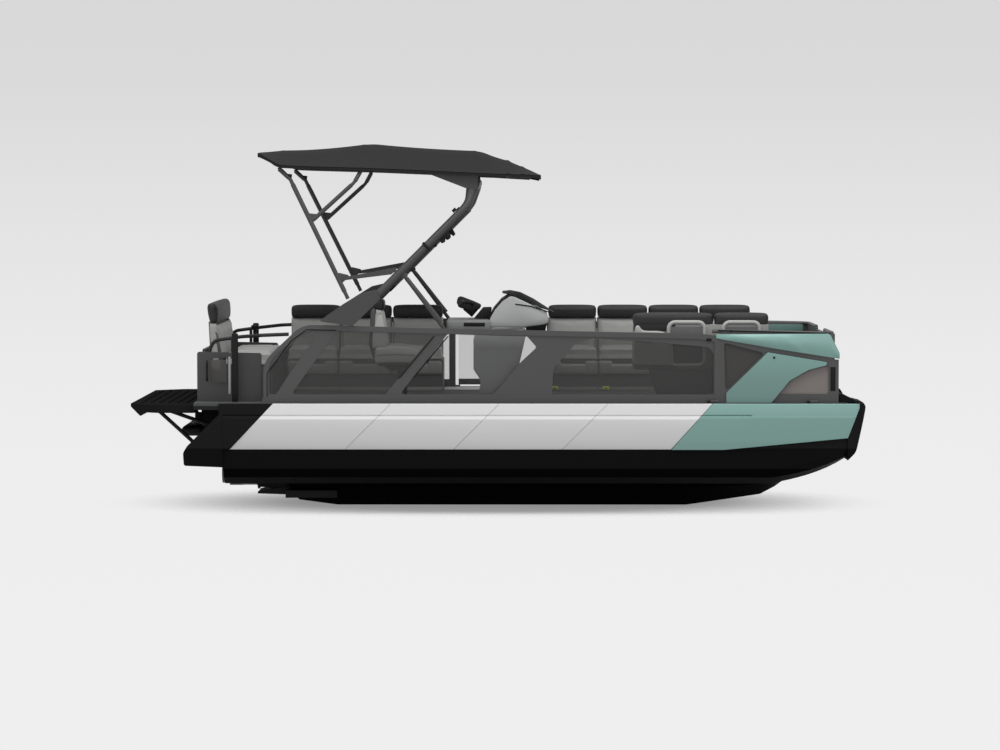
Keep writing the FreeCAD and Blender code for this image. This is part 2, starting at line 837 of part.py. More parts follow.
bumper_outline = [(hull_stem_x, hull_stem_z), (bumper_knee_x, bumper_knee_z, 120.0), (bow_x, bumper_tip_z),
                  (bow_x - 25.0, deck_z + 5.0, 15.0), (deck_front_x, deck_z + 23.0),
                  (bumper_cap_x + 25.0, deck_z + bumper_cap_height, 12.0),
                  (bumper_cap_x, deck_z + 70.0, 6.0),
                  (bumper_cap_x, deck_z), (deck_front_x, deck_z), (deck_front_x, stem_z_at(deck_front_x)),
                  (hull_stem_x, teal_front_z())]
bumper = starboard_prism(bumper_outline, hull_inner_y, side_y).common(bow_space)
teal_space = [(hull_rise_x, cladding_bottom_z), (hull_rise_x, deck_z + seam),
              (teal_front_x + seam, deck_z + seam),
              (teal_front_x + seam, stem_lean_z - seam), (hull_stem_x + seam, teal_front_z() - seam)]
bumper = bumper.cut(starboard_prism(teal_space, hull_outer_y, beam))
edge_room = starboard_prism([(bumper_cap_x - 1.0, deck_z), (bumper_cap_x - 1.0, deck_z + 200.0),
                             (bow_x, deck_z + 200.0), (bow_x, deck_z)], hull_outer_y - bumper_cap_inset,
                             beam)
bumper = bumper.cut(edge_room)
nodes["bow_bumpers"] = on_both_sides(bumper)


# Swim platform, its struts and the boarding ladder under it
platform_low_z = platform_top_z - platform_thickness
ladder_z = platform_low_z - ladder_drop


def swim_platform():
    lip_low = platform_top_z - platform_lip_drop
    profile = [(stern_x, platform_top_z), (stern_x, platform_top_z - 22.0),
               (stern_x + platform_lip_x, lip_low, 8.0),
               (stern_x + platform_lip_x + platform_lip_width, platform_low_z, 20.0),
               (deck_rear_x, platform_low_z), (deck_rear_x, platform_top_z)]
    body = side_prism(profile, -platform_half, platform_half)
    plan = [(stern_x, -platform_rear_half, 60.0), (stern_x + platform_corner_x, -platform_half, 80.0),
            (deck_rear_x, -platform_half), (deck_rear_x, platform_half),
            (stern_x + platform_corner_x, platform_half, 80.0), (stern_x, platform_rear_half, 60.0)]
    body = body.common(plan_prism(plan, 0.0, deck_z))
    grooves = []
    x = stern_x + slot_pitch
    while x < deck_rear_x - slot_pitch:
        grooves.append(box(x, x + slot_width, -platform_rear_half + slot_pitch,
                           platform_rear_half - slot_pitch,
                           platform_top_z - slot_depth, platform_top_z + 1.0))
        x += slot_pitch
    body = body.cut(Part.makeCompound(grooves))
    lugs = []
    for y in (ladder_inner_y - ladder_tube - ladder_lug - 6.0, ladder_outer_y + ladder_tube + 6.0):
        lug = box(ladder_hinge_x - ladder_lug_reach, ladder_hinge_x + ladder_lug_reach, y, y + ladder_lug,
                  ladder_z - ladder_lug_reach, platform_low_z)
        hole = rod(Vector(ladder_hinge_x, y - 1.0, ladder_z),
                   Vector(ladder_hinge_x, y + ladder_lug + 1.0, ladder_z),
                   ladder_pin + fit_gap)
        lugs.append(lug.cut(hole))
    return fuse_all([body] + lugs)


def quarter_face_x(z):
    """Where the stern quarter's raked back face is at height z."""
    share = (z - quarter_back_z) / (quarter_top_z - quarter_back_z)
    return quarter_back_x + (quarter_top_x - quarter_back_x) * share


def platform_struts():
    struts = []
    pad = strut_pad / 2.0
    for top_x, foot_z, y in ((strut_top_x, quarter_back_z + 10.0, strut_y),
                             (short_strut_top_x, short_strut_foot_z, short_strut_y)):
        top = Vector(top_x, -y, platform_low_z + 10.0)
        foot = Vector(quarter_face_x(foot_z) + 10.0, -y, foot_z)
        struts.append(rod(top, foot, strut_radius))
        struts.append(box(top_x - pad, top_x + pad, -y - 25.0, -y + 25.0,
                          platform_low_z - strut_pad_thickness,
                          platform_low_z))
    return on_both_sides(fuse_all(struts).cut(nodes["swim_platform"]).cut(nodes["stern_quarters"]))


def boarding_ladder():
    pieces = []
    end_x = ladder_hinge_x + ladder_length
    for y in (ladder_inner_y, ladder_outer_y):
        pieces.append(rod(Vector(ladder_hinge_x, y, ladder_z), Vector(end_x, y, ladder_z), ladder_tube))
        pieces.append(Part.makeSphere(ladder_tube, Vector(end_x, y, ladder_z)))
    outer = ladder_tube + 6.0 + ladder_lug
    pieces.append(rod(Vector(ladder_hinge_x, ladder_inner_y - outer, ladder_z),
                      Vector(ladder_hinge_x, ladder_outer_y + outer, ladder_z), ladder_pin))
    for step in range(1, ladder_steps + 1):
        x = ladder_hinge_x + ladder_length * step / ladder_steps - 20.0
        pieces.append(box(x - 30.0, x + 20.0, ladder_inner_y, ladder_outer_y, ladder_z - 10.0,
                          ladder_z + 8.0))
    return fuse_all(pieces)


nodes["swim_platform"] = swim_platform()
nodes["platform_struts"] = platform_struts()
nodes["boarding_ladder"] = boarding_ladder()


# Jet drive: pump, steering nozzle, reverse bucket, ride plate and strakes
flange_x = centre_stern_x
nozzle_pivot_x = flange_x - nozzle_pivot_from_flange
bucket_pivot_x = flange_x - bucket_pivot_from_flange


def jet_tube(x_low, x_high, radius, inner_radius=0.0):
    tube = rod(Vector(x_low, 0, jet_z), Vector(x_high, 0, jet_z), radius)
    if inner_radius > 0:
        tube = tube.cut(rod(Vector(x_low - 1.0, 0, jet_z), Vector(x_high + 1.0, 0, jet_z), inner_radius))
    return tube


def jet_pump():
    pump_end_x = flange_x - pump_length
    snout_end_x = nozzle_pivot_x - nozzle_ahead
    pieces = [jet_tube(flange_x - pump_flange_thickness, flange_x, pump_flange),
              jet_tube(pump_end_x, flange_x, pump_radius),
              Part.makeCone(snout_radius, pump_radius, 30.0, Vector(pump_end_x - 30.0, 0, jet_z),
                            Vector(1, 0, 0)),
              jet_tube(snout_end_x, pump_end_x - 30.0, snout_radius)]
    ear_low = nozzle_inner + nozzle_wall + 6.0
    for side in (-1, 1):
        low = min(side * ear_low, side * (ear_low + nozzle_ear))
        high = max(side * ear_low, side * (ear_low + nozzle_ear))
        pieces.append(box(nozzle_pivot_x - nozzle_ear_half, pump_end_x + 20.0, -nozzle_ear_half,
                          nozzle_ear_half,
                          jet_z + low, jet_z + high))
        pin_end = side * (bucket_arm_y + bucket_wall + 8.0)
        pieces.append(rod(Vector(bucket_pivot_x, 0, jet_z), Vector(bucket_pivot_x, pin_end, jet_z),
                          bucket_pin))
    pump = fuse_all(pieces)
    bore = jet_tube(snout_end_x - 1.0, pump_end_x + 40.0, snout_bore)
    pivot = rod(Vector(nozzle_pivot_x, 0, jet_z - pump_flange),
                Vector(nozzle_pivot_x, 0, jet_z + pump_flange),
                nozzle_pin + fit_gap)
    return pump.cut(bore).cut(pivot.cut(jet_tube(snout_end_x, pump_end_x, snout_radius)))


def steering_nozzle():
    ring = jet_tube(nozzle_pivot_x - nozzle_behind, nozzle_pivot_x + nozzle_ahead,
                    nozzle_inner + nozzle_wall,
                    nozzle_inner)
    pieces = [ring]
    for side in (-1, 1):
        start = Vector(nozzle_pivot_x, 0, jet_z + side * (nozzle_inner + 2.0))
        end = Vector(nozzle_pivot_x, 0, jet_z + side * (nozzle_inner + nozzle_wall + 6.0 + nozzle_ear))
        pieces.append(rod(start, end, nozzle_pin))
    return fuse_all(pieces)


def reverse_bucket():
    middle = math.radians(bucket_raise)
    half = math.radians(bucket_half_angle)
    outer = bucket_radius + bucket_wall

    def spot(radius, angle):
        return (bucket_pivot_x - radius * math.cos(angle), jet_z + radius * math.sin(angle))

    steps = 10
    outline = [spot(outer, middle - half + 2.0 * half * step / steps) for step in range(steps + 1)]
    outline += [spot(bucket_radius, middle + half - 2.0 * half * step / steps) for step in range(steps + 1)]
    width = bucket_arm_y + bucket_wall
    shell = side_prism(outline, -width, width)
    arm = [spot(bucket_radius + 2.0, middle - half), spot(bucket_radius + 2.0, middle + half),
           (bucket_pivot_x + 26.0, jet_z + 8.0, 20.0), (bucket_pivot_x + 4.0, jet_z - 28.0, 20.0),
           (bucket_pivot_x - 26.0, jet_z, 16.0)]
    pin = rod(Vector(bucket_pivot_x, -width - 1.0, jet_z), Vector(bucket_pivot_x, width + 1.0, jet_z),
              bucket_pin + fit_gap)
    arms = [side_prism(arm, bucket_arm_y, width), side_prism(arm, -width, -bucket_arm_y)]
    return fuse_all([shell] + arms).cut(pin)


def ride_plate():
    wedge = [(ride_plate_rear_x, ride_plate_low_z + 10.0), (ride_plate_rear_x, ride_plate_low_z + 24.0),
             (ride_plate_front_x, pump_roof_z), (ride_plate_front_x + 30.0, pump_roof_z),
             (ride_plate_front_x + 30.0, ride_plate_low_z)]
    plate = side_prism(wedge, -ride_plate_half, ride_plate_half)
    strake = box(strake_rear_x, strake_front_x, strake_out - strake_width, strake_out, strake_low_z,
                 strake_high_z)
    hull = nodes["hull_centre"]
    return Part.makeCompound([plate.cut(hull), strake.cut(hull), to_port(strake).cut(hull)])


def eye(x, y, z, reach):
    """A flat plate standing out along X from a face at x, with an upright bore near its tip."""
    half = eye_width / 2.0
    tip = eye_radius * 2.0
    plate = plan_prism([(x - reach, y - half), (x, y - half), (x + reach, y - tip, tip),
                        (x + reach, y + tip, tip),
                        (x, y + half), (x - reach, y + half)], z, z + eye_plate)
    hole_x = x + reach * eye_hole_share
    return plate.cut(rod(Vector(hole_x, y, z - 1.0), Vector(hole_x, y, z + eye_plate + 1.0), eye_radius))


nodes["jet_pump"] = jet_pump()
nodes["steering_nozzle"] = steering_nozzle()
nodes["reverse_bucket"] = reverse_bucket()
nodes["ride_plate"] = ride_plate()
nodes["bow_eye"] = eye(centre_tip_x, 0.0, bow_eye_z, eye_reach).cut(nodes["hull_centre"])
nodes["stern_eyes"] = on_both_sides(eye(flange_x, -stern_eye_y, stern_eye_z,
                                        -eye_reach).cut(nodes["hull_centre"]))


# Fence along the sides
def fence_outline(inset):
    """The starboard fence's outline, drawn in by the rail's width where inset is not 0."""
    foot = fence_foot if inset else 0.0
    front = fence_front_x - (fence_post if inset else 0.0)
    rear = fence_rear_x + inset
    top = fence_top_z - inset
    return [(rear, deck_z + foot), (rear, fence_rear_knee_z, fence_bend),
            (fence_rear_x + fence_rear_lean + 0.6 * inset, top, fence_bend),
            (along_fence(0.384), top - fence_top_fall, 400.0),
            (fence_fall_x, fence_mid_z - 26.0 - inset, 300.0),
            (front, fence_front_z + 16.0 - inset, 20.0), (front, deck_z + foot)]


def along_fence(share):
    """X at a share of the side fence's length, from its rear end."""
    return fence_rear_x + share * (fence_front_x - fence_rear_x)


def fence_windows():
    """The tinted windows of the starboard fence, between its slanted panels."""
    sill = window_foot_z
    head = fence_top_z - fence_rail - window_rail_gap
    c = window_corner
    rear = fence_rear_x + fence_rail + window_rail_gap
    front = fence_front_x - fence_post - window_rail_gap
    first = [(rear, sill, c), (rear, fence_rear_knee_z - 60.0, 160.0),
             (along_fence(0.076), head - 60.0, 60.0),
             (along_fence(0.119), head - 30.0, c), (along_fence(0.048), window_foot_z + 129.0, 40.0),
             (along_fence(0.028), sill, c)]
    second = [(along_fence(0.061), sill, c), (along_fence(0.16), head - 6.0, c),
              (along_fence(0.371), head - 26.0, c), (along_fence(0.267), sill, c)]
    third = [(along_fence(0.298), sill, c), (along_fence(0.402), head - 30.0, c),
             (along_fence(0.576), head - 50.0, c),
             (along_fence(0.597), head - 145.0, c), (along_fence(0.561), head - 279.0, c),
             (along_fence(0.508), sill + 20.0, c), (along_fence(0.502), sill, c)]
    fourth = [(along_fence(0.63), sill, c), (along_fence(0.634), head - 327.0, 60.0),
              (along_fence(0.649), head - 254.0, 30.0), (along_fence(0.683), head - 107.0, 60.0),
              (along_fence(0.718), head - 65.0, 60.0), (along_fence(0.83), head - 92.0, 200.0),
              (front, head - 147.0, 80.0), (front, sill, c)]
    return [first, second, third, fourth]


def fence_frame(outer, inner, windows):
    rail_near = fence_y - fence_rail_width / 2.0
    rail_far = fence_y + fence_rail_width / 2.0
    panel_near = fence_y - fence_panel_width / 2.0
    panel_far = fence_y + fence_panel_width / 2.0
    rails = starboard_prism(outer, rail_near, rail_far).cut(starboard_prism(inner, 0.0, beam))
    panel = starboard_prism(inner, panel_near, panel_far)
    for window in windows:
        panel = panel.cut(starboard_prism(window, 0.0, beam))
    return rails.fuse(panel).removeSplitter()


def fence_panes(windows):
    near = fence_y - fence_pane / 2.0
    return [starboard_prism(window, near, near + fence_pane) for window in windows]


starboard_frame = fence_frame(fence_outline(0.0), fence_outline(fence_rail), fence_windows())
starboard_panes = [pane.cut(starboard_frame) for pane in fence_panes(fence_windows())]
nodes["fence_starboard"] = starboard_frame
nodes["fence_panes_starboard"] = Part.makeCompound(starboard_panes)


# Gates: a leaf with a pin at its hinge edge, and the lugs that hold the pin
def gate_pin_shape(x, y, z_low, z_high):
    return rod(Vector(x, y, z_low - gate_lug - 2.0), Vector(x, y, z_high + gate_lug + 2.0), gate_pin)


def gate_lugs(x, y, post_x, post_y, z_low, z_high):
    """Two lugs from the post's near face to the pin, one under the leaf and one over it."""
    lugs = []
    for z in (z_low - 3.0 - gate_lug, z_high + 3.0):
        half = 2.2 * gate_pin
        lug = box(min(x - half, post_x), max(x + half, post_x), min(y - half, post_y),
                  max(y + half, post_y),
                  z, z + gate_lug)
        lugs.append(lug.cut(rod(Vector(x, y, z - 1.0), Vector(x, y, z + gate_lug + 1.0),
                                gate_pin + fit_gap)))
    return lugs


# Port fence, as the starboard one but with the side gate's opening
port_gate_hinge_x = gate_rear_x + gate_hinge_gap
port_gate_low_z = deck_z + gate_lift
port_gate_high_z = fence_mid_z - gate_top_drop
gate_space = box(gate_rear_x, gate_front_x, 0.0, beam, deck_z - 1.0, fence_top_z + 100.0)


def port_fence():
    fence = to_port(starboard_frame).cut(gate_space)
    near = fence_y - fence_rail_width / 2.0
    far = fence_y + fence_rail_width / 2.0
    posts = []
    for x_low in (gate_rear_x - fence_post, gate_front_x):
        posts.append(box(x_low, x_low + fence_post, near, far, deck_z, fence_mid_z))
    lugs = gate_lugs(port_gate_hinge_x, fence_y, gate_rear_x, fence_y, port_gate_low_z, port_gate_high_z)
    return fuse_all([fence] + posts + lugs)


def port_panes():
    keep_out = box(gate_rear_x - fence_post, gate_front_x + fence_post, 0.0, beam, 0.0, fence_top_z + 100.0)
    panes = []
    for pane in starboard_panes:
        piece = to_port(pane).cut(keep_out)
        panes += [solid for solid in piece.Solids if solid.Volume > 1000.0]
    return Part.makeCompound(panes).cut(nodes["fence_port"])


def port_gate():
    low_x = port_gate_hinge_x
    high_x = gate_front_x - gate_latch_gap
    half = gate_thickness / 2.0
    leaf = box(low_x, high_x, fence_y - half, fence_y + half, port_gate_low_z, port_gate_high_z)
    hole = box(low_x + gate_rail, high_x - gate_rail, 0.0, beam, port_gate_low_z + gate_rail,
               port_gate_high_z - gate_rail)
    panel = box(low_x + gate_rail, high_x - gate_rail, fence_y - fence_pane / 2.0,
                fence_y + fence_pane / 2.0,
                port_gate_low_z + gate_rail, port_gate_high_z - gate_rail)
    pin = gate_pin_shape(port_gate_hinge_x, fence_y, port_gate_low_z, port_gate_high_z)
    return fuse_all([leaf.cut(hole), panel, pin])


nodes["fence_port"] = port_fence()
nodes["fence_panes_port"] = port_panes()
nodes["port_gate"] = port_gate()


# Bow fence with its corner panes, beaks, lower panels and gate
bow_side_near = fence_y - fence_rail_width / 2.0
bow_side_far = fence_y + fence_rail_width / 2.0
bow_top_z = bow_rail_z - bow_rail_fall
bow_front_near_x = bow_fence_front_x - bow_fence_thickness


def bow_side_windows():
    c = window_corner
    x = bow_x
    triangle = [(x - 1240.0, deck_z + 525.0, c), (x - 885.0, deck_z + 432.0, c),
                (x - 1226.0, deck_z + 96.0, c)]
    pane = [(x - 770.0, deck_z + 77.0, c), (x - 640.0, deck_z + 200.0, 60.0),
            (x - 490.0, deck_z + 285.0, 60.0),
            (x - 325.0, deck_z + 322.0, c), (x - 325.0, deck_z + 77.0, c)]
    return [triangle, pane]


def bow_front_window():
    return [(-bow_side_near + 60.0, deck_z + 77.0, window_corner),
            (-bow_side_near + 60.0, deck_z + 322.0, window_corner),
            (-bow_gate_half - 60.0, deck_z + 322.0, window_corner),
            (-bow_gate_half - 60.0, deck_z + 77.0, window_corner)]


def bow_side_outline():
    return [(fence_front_x, deck_z), (fence_front_x, bow_rail_z - 4.0),
            (bow_post_x + bow_post_width - 40.0, bow_top_z),
            (bow_post_x + bow_post_width - 40.0, bow_post_top_z),
            (bow_post_x + bow_post_width, bow_post_top_z),
            (bow_post_x + bow_post_width, deck_z)]


def bow_rail_path():
    start = Vector(fence_front_x - 80.0, -fence_y, bow_rail_z)
    corner = Vector(bow_front_near_x + bow_fence_thickness / 2.0, -fence_y, bow_top_z + 4.0)
    end = Vector(corner.x, -bow_gate_half, bow_top_z + 4.0)
    return [start, corner, end]


def bow_fence_side():
    side = starboard_prism(bow_side_outline(), bow_side_near, bow_side_far)
    post = box(bow_post_x, bow_post_x + bow_post_width, -bow_side_far, -bow_side_near + 40.0, deck_z,
               bow_post_top_z)
    front = box(bow_front_near_x, bow_fence_front_x, -bow_side_near, -bow_gate_half, deck_z, bow_top_z)
    rail = bent_tube(bow_rail_path(), bow_rail_radius, 120.0)
    frame = fuse_all([side, post, front, rail])
    for window in bow_side_windows():
        frame = frame.cut(starboard_prism(window, 0.0, beam))
    return frame.cut(end_prism(bow_front_window(), bow_front_near_x - 1.0, bow_x))


bow_gate_low_z = deck_z + 70.0
bow_gate_high_z = bow_top_z - 20.0
bow_gate_hinge_y = bow_gate_half - gate_hinge_gap + 6.0
bow_gate_hinge_x = bow_front_near_x + bow_fence_thickness / 2.0


def bow_fence():
    starboard = bow_fence_side()
    starboard = starboard.cut(nodes["fence_starboard"])
    lugs = gate_lugs(bow_gate_hinge_x, bow_gate_hinge_y, bow_gate_hinge_x, bow_gate_half, bow_gate_low_z,
                     bow_gate_high_z)
    return Part.makeCompound([starboard, fuse_all([to_port(starboard)] + lugs)])


def bow_panes():
    panes = fence_panes(bow_side_windows())
    middle_x = bow_front_near_x + bow_fence_thickness / 2.0
    panes.append(end_prism(bow_front_window(), middle_x - fence_pane / 2.0, middle_x + fence_pane / 2.0))
    return on_both_sides(Part.makeCompound(panes))


def bow_gate():
    thickness = bow_fence_thickness
    low_y = -bow_gate_half + gate_latch_gap
    leaf = box(bow_front_near_x, bow_fence_front_x, low_y, bow_gate_hinge_y, bow_gate_low_z,
               bow_gate_high_z)
    hole = box(bow_front_near_x + thickness / 3.0, bow_x, low_y + gate_rail, bow_gate_hinge_y - gate_rail,
               bow_gate_low_z + gate_rail, bow_gate_high_z - gate_rail)
    pin = gate_pin_shape(bow_gate_hinge_x, bow_gate_hinge_y, bow_gate_low_z, bow_gate_high_z)
    return fuse_all([leaf.cut(hole), pin])


def beak():
    side_view = [(bow_x - beak_rear_from_bow, bow_top_z + 2.0, 10.0),
                 (bow_x - beak_top_front_from_bow, bow_top_z + 2.0, 20.0),
                 (beak_reach, deck_z + beak_tip_over_deck, 20.0),
                 (beak_reach - beak_chin_back, deck_z + beak_chin_over_deck, 10.0),
                 (bow_x - beak_foot_middle_from_bow, deck_z + beak_foot_middle_over_deck, 60.0),
                 (bow_x - beak_foot_rear_from_bow, deck_z + beak_foot_rear_over_deck, 20.0)]
    outer_y = bow_side_far + beak_out
    body = starboard_prism(side_view, bow_gate_half, outer_y)
    plan = [(bow_x - beak_rear_from_bow, -bow_side_far), (bow_x - beak_rear_from_bow, 20.0 - outer_y),
            (bow_x - beak_flare_from_bow, -outer_y), (beak_reach, -outer_y, beak_corner),
            (beak_reach, -bow_gate_half), (bow_fence_front_x, -bow_gate_half),
            (bow_fence_front_x, -bow_side_far)]
    return body.common(plan_prism(plan, 0.0, bow_rail_z + 100.0)).cut(nodes["bow_fence"])


def lower_panel():
    low = deck_z + lower_panel_lift
    side_view = [(bow_x - lower_panel_peak_from_bow, deck_z + lower_panel_peak_over_deck, 20.0),
                 (bow_x - lower_panel_tip_from_bow, deck_z + lower_panel_tip_over_deck, 10.0),
                 (bow_x - lower_panel_lip_from_bow, deck_z + lower_panel_lip_over_deck),
                 (bow_x - lower_panel_curve_from_bow, deck_z + lower_panel_curve_over_deck, 100.0),
                 (bow_x - lower_panel_heel_from_bow, deck_z + lower_panel_heel_over_deck, 60.0),
                 (bow_x - lower_panel_foot_from_bow, low),
                 (bow_x - lower_panel_rear_from_bow, low),
                 (bow_x - lower_panel_rear_from_bow, deck_z + lower_panel_rear_over_deck, 10.0)]
    return starboard_prism(side_view, bow_side_far, bow_side_far + lower_panel_out)


nodes["bow_fence"] = bow_fence()
nodes["bow_panes"] = bow_panes()
nodes["bow_gate"] = bow_gate()
nodes["bow_beaks"] = on_both_sides(beak())
nodes["bow_lower_panels"] = on_both_sides(lower_panel())


# Stern fence and gate
stern_gate_y_low = -stern_fence_y
stern_gate_y_high = stern_gate_y_low + stern_gate_width
stern_gate_hinge_y = stern_gate_y_high - stern_gate_hinge_gap
stern_gate_low_z = deck_z + 60.0
stern_gate_high_z = stern_fence_top_z
stern_face_x = stern_fence_x - stern_fence_thickness


def stern_side():
    half = stern_fence_thickness / 2.0
    low = stern_fence_y - half
    high = stern_fence_y + half
    outline = [(stern_face_x, deck_z), (stern_face_x, stern_fence_top_z, 20.0),
               (stern_fence_front_x, stern_fence_top_z - 12.0, 20.0), (stern_fence_front_x, deck_z)]
    hole = [(stern_x + 725.0, deck_z + 179.0, 15.0), (stern_x + 725.0, deck_z + 380.0, 15.0),
            (stern_x + 857.0, deck_z + 380.0, 15.0), (stern_x + 857.0, deck_z + 179.0, 15.0)]
    gap = [(stern_x + 880.0, deck_z + 60.0), (stern_x + 880.0, stern_fence_top_z - 60.0),
           (stern_x + 925.0, stern_fence_top_z - 60.0), (stern_x + 925.0, deck_z + 60.0)]
    plate = starboard_prism(outline, low, high)
    for window in (hole, gap):
        plate = plate.cut(starboard_prism(window, 0.0, beam))
    y = -stern_fence_y
    along_fence_y = -bow_side_near + stern_rail_radius - 1.0
    rail = bent_tube([Vector(stern_x + 687.0, y, deck_z + 420.0),
                      Vector(stern_x + 735.0, y, deck_z + 535.0),
                      Vector(stern_x + 980.0, y, deck_z + 568.0),
                      Vector(stern_x + 1180.0, along_fence_y, deck_z + 586.0),
                      Vector(stern_x + 1403.0, along_fence_y, deck_z + 595.0)],
                     stern_rail_radius, 90.0)
    post = rod(Vector(stern_x + 899.0, y, deck_z + 400.0), Vector(stern_x + 899.0, y, deck_z + 566.0), 14.0)
    return fuse_all([plate, rail, post])


def stern_fence():
    starboard = stern_side()
    port = to_port(starboard)
    cross = box(stern_face_x, stern_fence_x, stern_gate_y_high, stern_fence_y, deck_z, stern_fence_top_z)
    lugs = gate_lugs(stern_face_x + stern_fence_thickness / 2.0, stern_gate_hinge_y,
                     stern_face_x + stern_fence_thickness / 2.0, stern_gate_y_high, stern_gate_low_z,
                     stern_gate_high_z - 20.0)
    port = fuse_all([port, cross] + lugs)
    sides = nodes["fence_starboard"].fuse(nodes["fence_port"])
    return Part.makeCompound([starboard.cut(sides), port.cut(sides)])


def stern_gate():
    low_y = stern_gate_y_low + stern_fence_thickness / 2.0 + gate_latch_gap
    high_z = stern_gate_high_z - 20.0
    leaf = box(stern_face_x, stern_fence_x, low_y, stern_gate_hinge_y, stern_gate_low_z, high_z)
    hole = box(stern_face_x + 10.0, bow_x, low_y + gate_rail, stern_gate_hinge_y - gate_rail,
               stern_gate_low_z + gate_rail, high_z - gate_rail)
    pin = gate_pin_shape(stern_face_x + stern_fence_thickness / 2.0, stern_gate_hinge_y, stern_gate_low_z,
                         high_z)
    return fuse_all([leaf.cut(hole), pin])


nodes["stern_fence"] = stern_fence()
nodes["stern_gate"] = stern_gate()


# Benches: a hollow base, a hinged seat cushion and a back with its head roll
def bench_base(x_low, x_high, y_low, y_high, lean=0.0):
    """A box with no top; lean draws the foot of its rear end forward."""
    floor_z = deck_z + bench_floor
    floor_lean = lean * (seat_z - floor_z) / (seat_z - deck_z)
    base = side_prism([(x_low + lean, deck_z), (x_low, seat_z), (x_high, seat_z), (x_high, deck_z)], y_low,
                      y_high)
    hollow = side_prism([(x_low + bench_wall + floor_lean, floor_z), (x_low + bench_wall, seat_z),
                         (x_high - bench_wall, seat_z), (x_high - bench_wall, floor_z)],
                        y_low + bench_wall, y_high - bench_wall)
    return base.cut(hollow)


def bench_back(x_low, x_high, y_front, y_rear, top_z, roll_z):
    """Seen from the stern: the upright back, and the head roll that stands proud of it."""
    outline = [(y_front, seat_z), (y_front, top_z - 8.0), (y_front - roll_overhang, top_z + 6.0, 30.0),
               (y_front - roll_overhang, roll_z, 36.0), (y_rear, roll_z, 36.0), (y_rear, seat_z)]
    return end_prism(outline, x_low, x_high)


def bench_seat(x_low, x_high, y_low, y_high):
    seat = box(x_low, x_high, y_low, y_high, seat_z, seat_z + cushion_thickness)
    return eased(seat, 25.0, lambda edge: edge.BoundBox.ZMin > seat_z + 1.0 or edge.BoundBox.ZLength > 50.0)


def put_bench(name, side, base, seat, back):
    """Keep a bench drawn on the port side, or its mirror image where side is -1."""
    for part_name, shape in (("base", base), ("seat", seat), ("back", back)):
        nodes[name + "_" + part_name] = shape if side > 0 else to_port(shape)


def long_bench(name, span, side):
    """A bench along the fence; side is 1 for port and -1 for starboard."""
    x_low, x_high = span
    put_bench(name, side, bench_base(x_low, x_high, bench_front_y, bench_outer_y),
              bench_seat(x_low + unit_gap, x_high - unit_gap, bench_front_y, bench_back_y - back_gap),
              bench_back(x_low + unit_gap, x_high - unit_gap, bench_back_y, bench_outer_y, back_top_z,
                         roll_top_z))


def lounge_bench(name, span, side):
    """As a long bench, but its rear end leans out and carries a sloped rest to lie against."""
    x_low, x_high = span
    rear = x_low - rest_rear_lean
    rest_foot = x_low + rest_reach
    back = bench_back(rear, x_high - unit_gap, bench_back_y, bench_outer_y, back_top_z, roll_top_z)
    under_end = side_prism([(rear - 1.0, seat_z - 1.0), (x_low + unit_gap, seat_z - 1.0),
                            (x_low + unit_gap, seat_z),
                            (x_low - 0.73 * rest_rear_lean, back_top_z - 200.0), (rear - 1.0, back_top_z)],
                            0.0, beam)
    rest = side_prism([(x_low + unit_gap, seat_z), (rear + 16.0, rest_top_z - 20.0, 30.0),
                       (rear + 60.0, rest_top_z, 60.0),
                       (x_low + rest_brow_run - 130.0, rest_top_z - 4.0, 200.0),
                       (x_low + rest_brow_run, rest_brow_z, 120.0),
                       (rest_foot, seat_z + cushion_thickness, 40.0), (rest_foot, seat_z)],
                      bench_front_y, bench_back_y)
    put_bench(name, side, bench_base(x_low, x_high, bench_front_y, bench_outer_y, bench_end_lean),
              bench_seat(rest_foot + back_gap, x_high - unit_gap, bench_front_y, bench_back_y - back_gap),
              back.cut(under_end).fuse(rest.cut(under_end)).removeSplitter())


def stern_bench():
    y_low, y_high = stern_bench_y
    rear = stern_bench_rear_x
    face = rear + stern_back_depth
    front = rear + stern_bench_depth
    base = bench_base(rear, front, y_low, y_high)
    seat = bench_seat(face + back_gap, front, y_low + unit_gap, y_high - unit_gap)
    lean_x = rear - stern_back_lean
    roll_x = face - stern_back_lean
    outline = [(rear, seat_z), (rear, stern_fence_top_z + 30.0), (lean_x, back_top_z + 60.0, 30.0),
               (lean_x + 15.0, stern_roll_top_z, 36.0), (roll_x + 20.0, stern_roll_top_z, 36.0),
               (roll_x + 45.0, back_top_z + 60.0, 20.0), (face, seat_z + cushion_thickness), (face, seat_z)]
    put_bench("stern_bench", 1, base, seat, side_prism(outline, y_low + unit_gap, y_high - unit_gap))


long_bench("port_aft_bench", port_aft_bench_x, 1)
long_bench("port_fore_bench", port_fore_bench_x, 1)
lounge_bench("starboard_bench", starboard_bench_x, -1)
stern_bench()


# Helm console, dash, visor and steering bar
def console_point(run, height):
    return (console_rear_x + run, deck_z + height)


console_nose = console_point(console_nose_run, console_nose_height)
dash_rear = console_point(dash_rear_run, dash_rear_height)
dash_pad = console_point(dash_pad_run, dash_pad_height)
dash_y = (console_y[0] + dash_inset, console_y[1] - dash_inset)


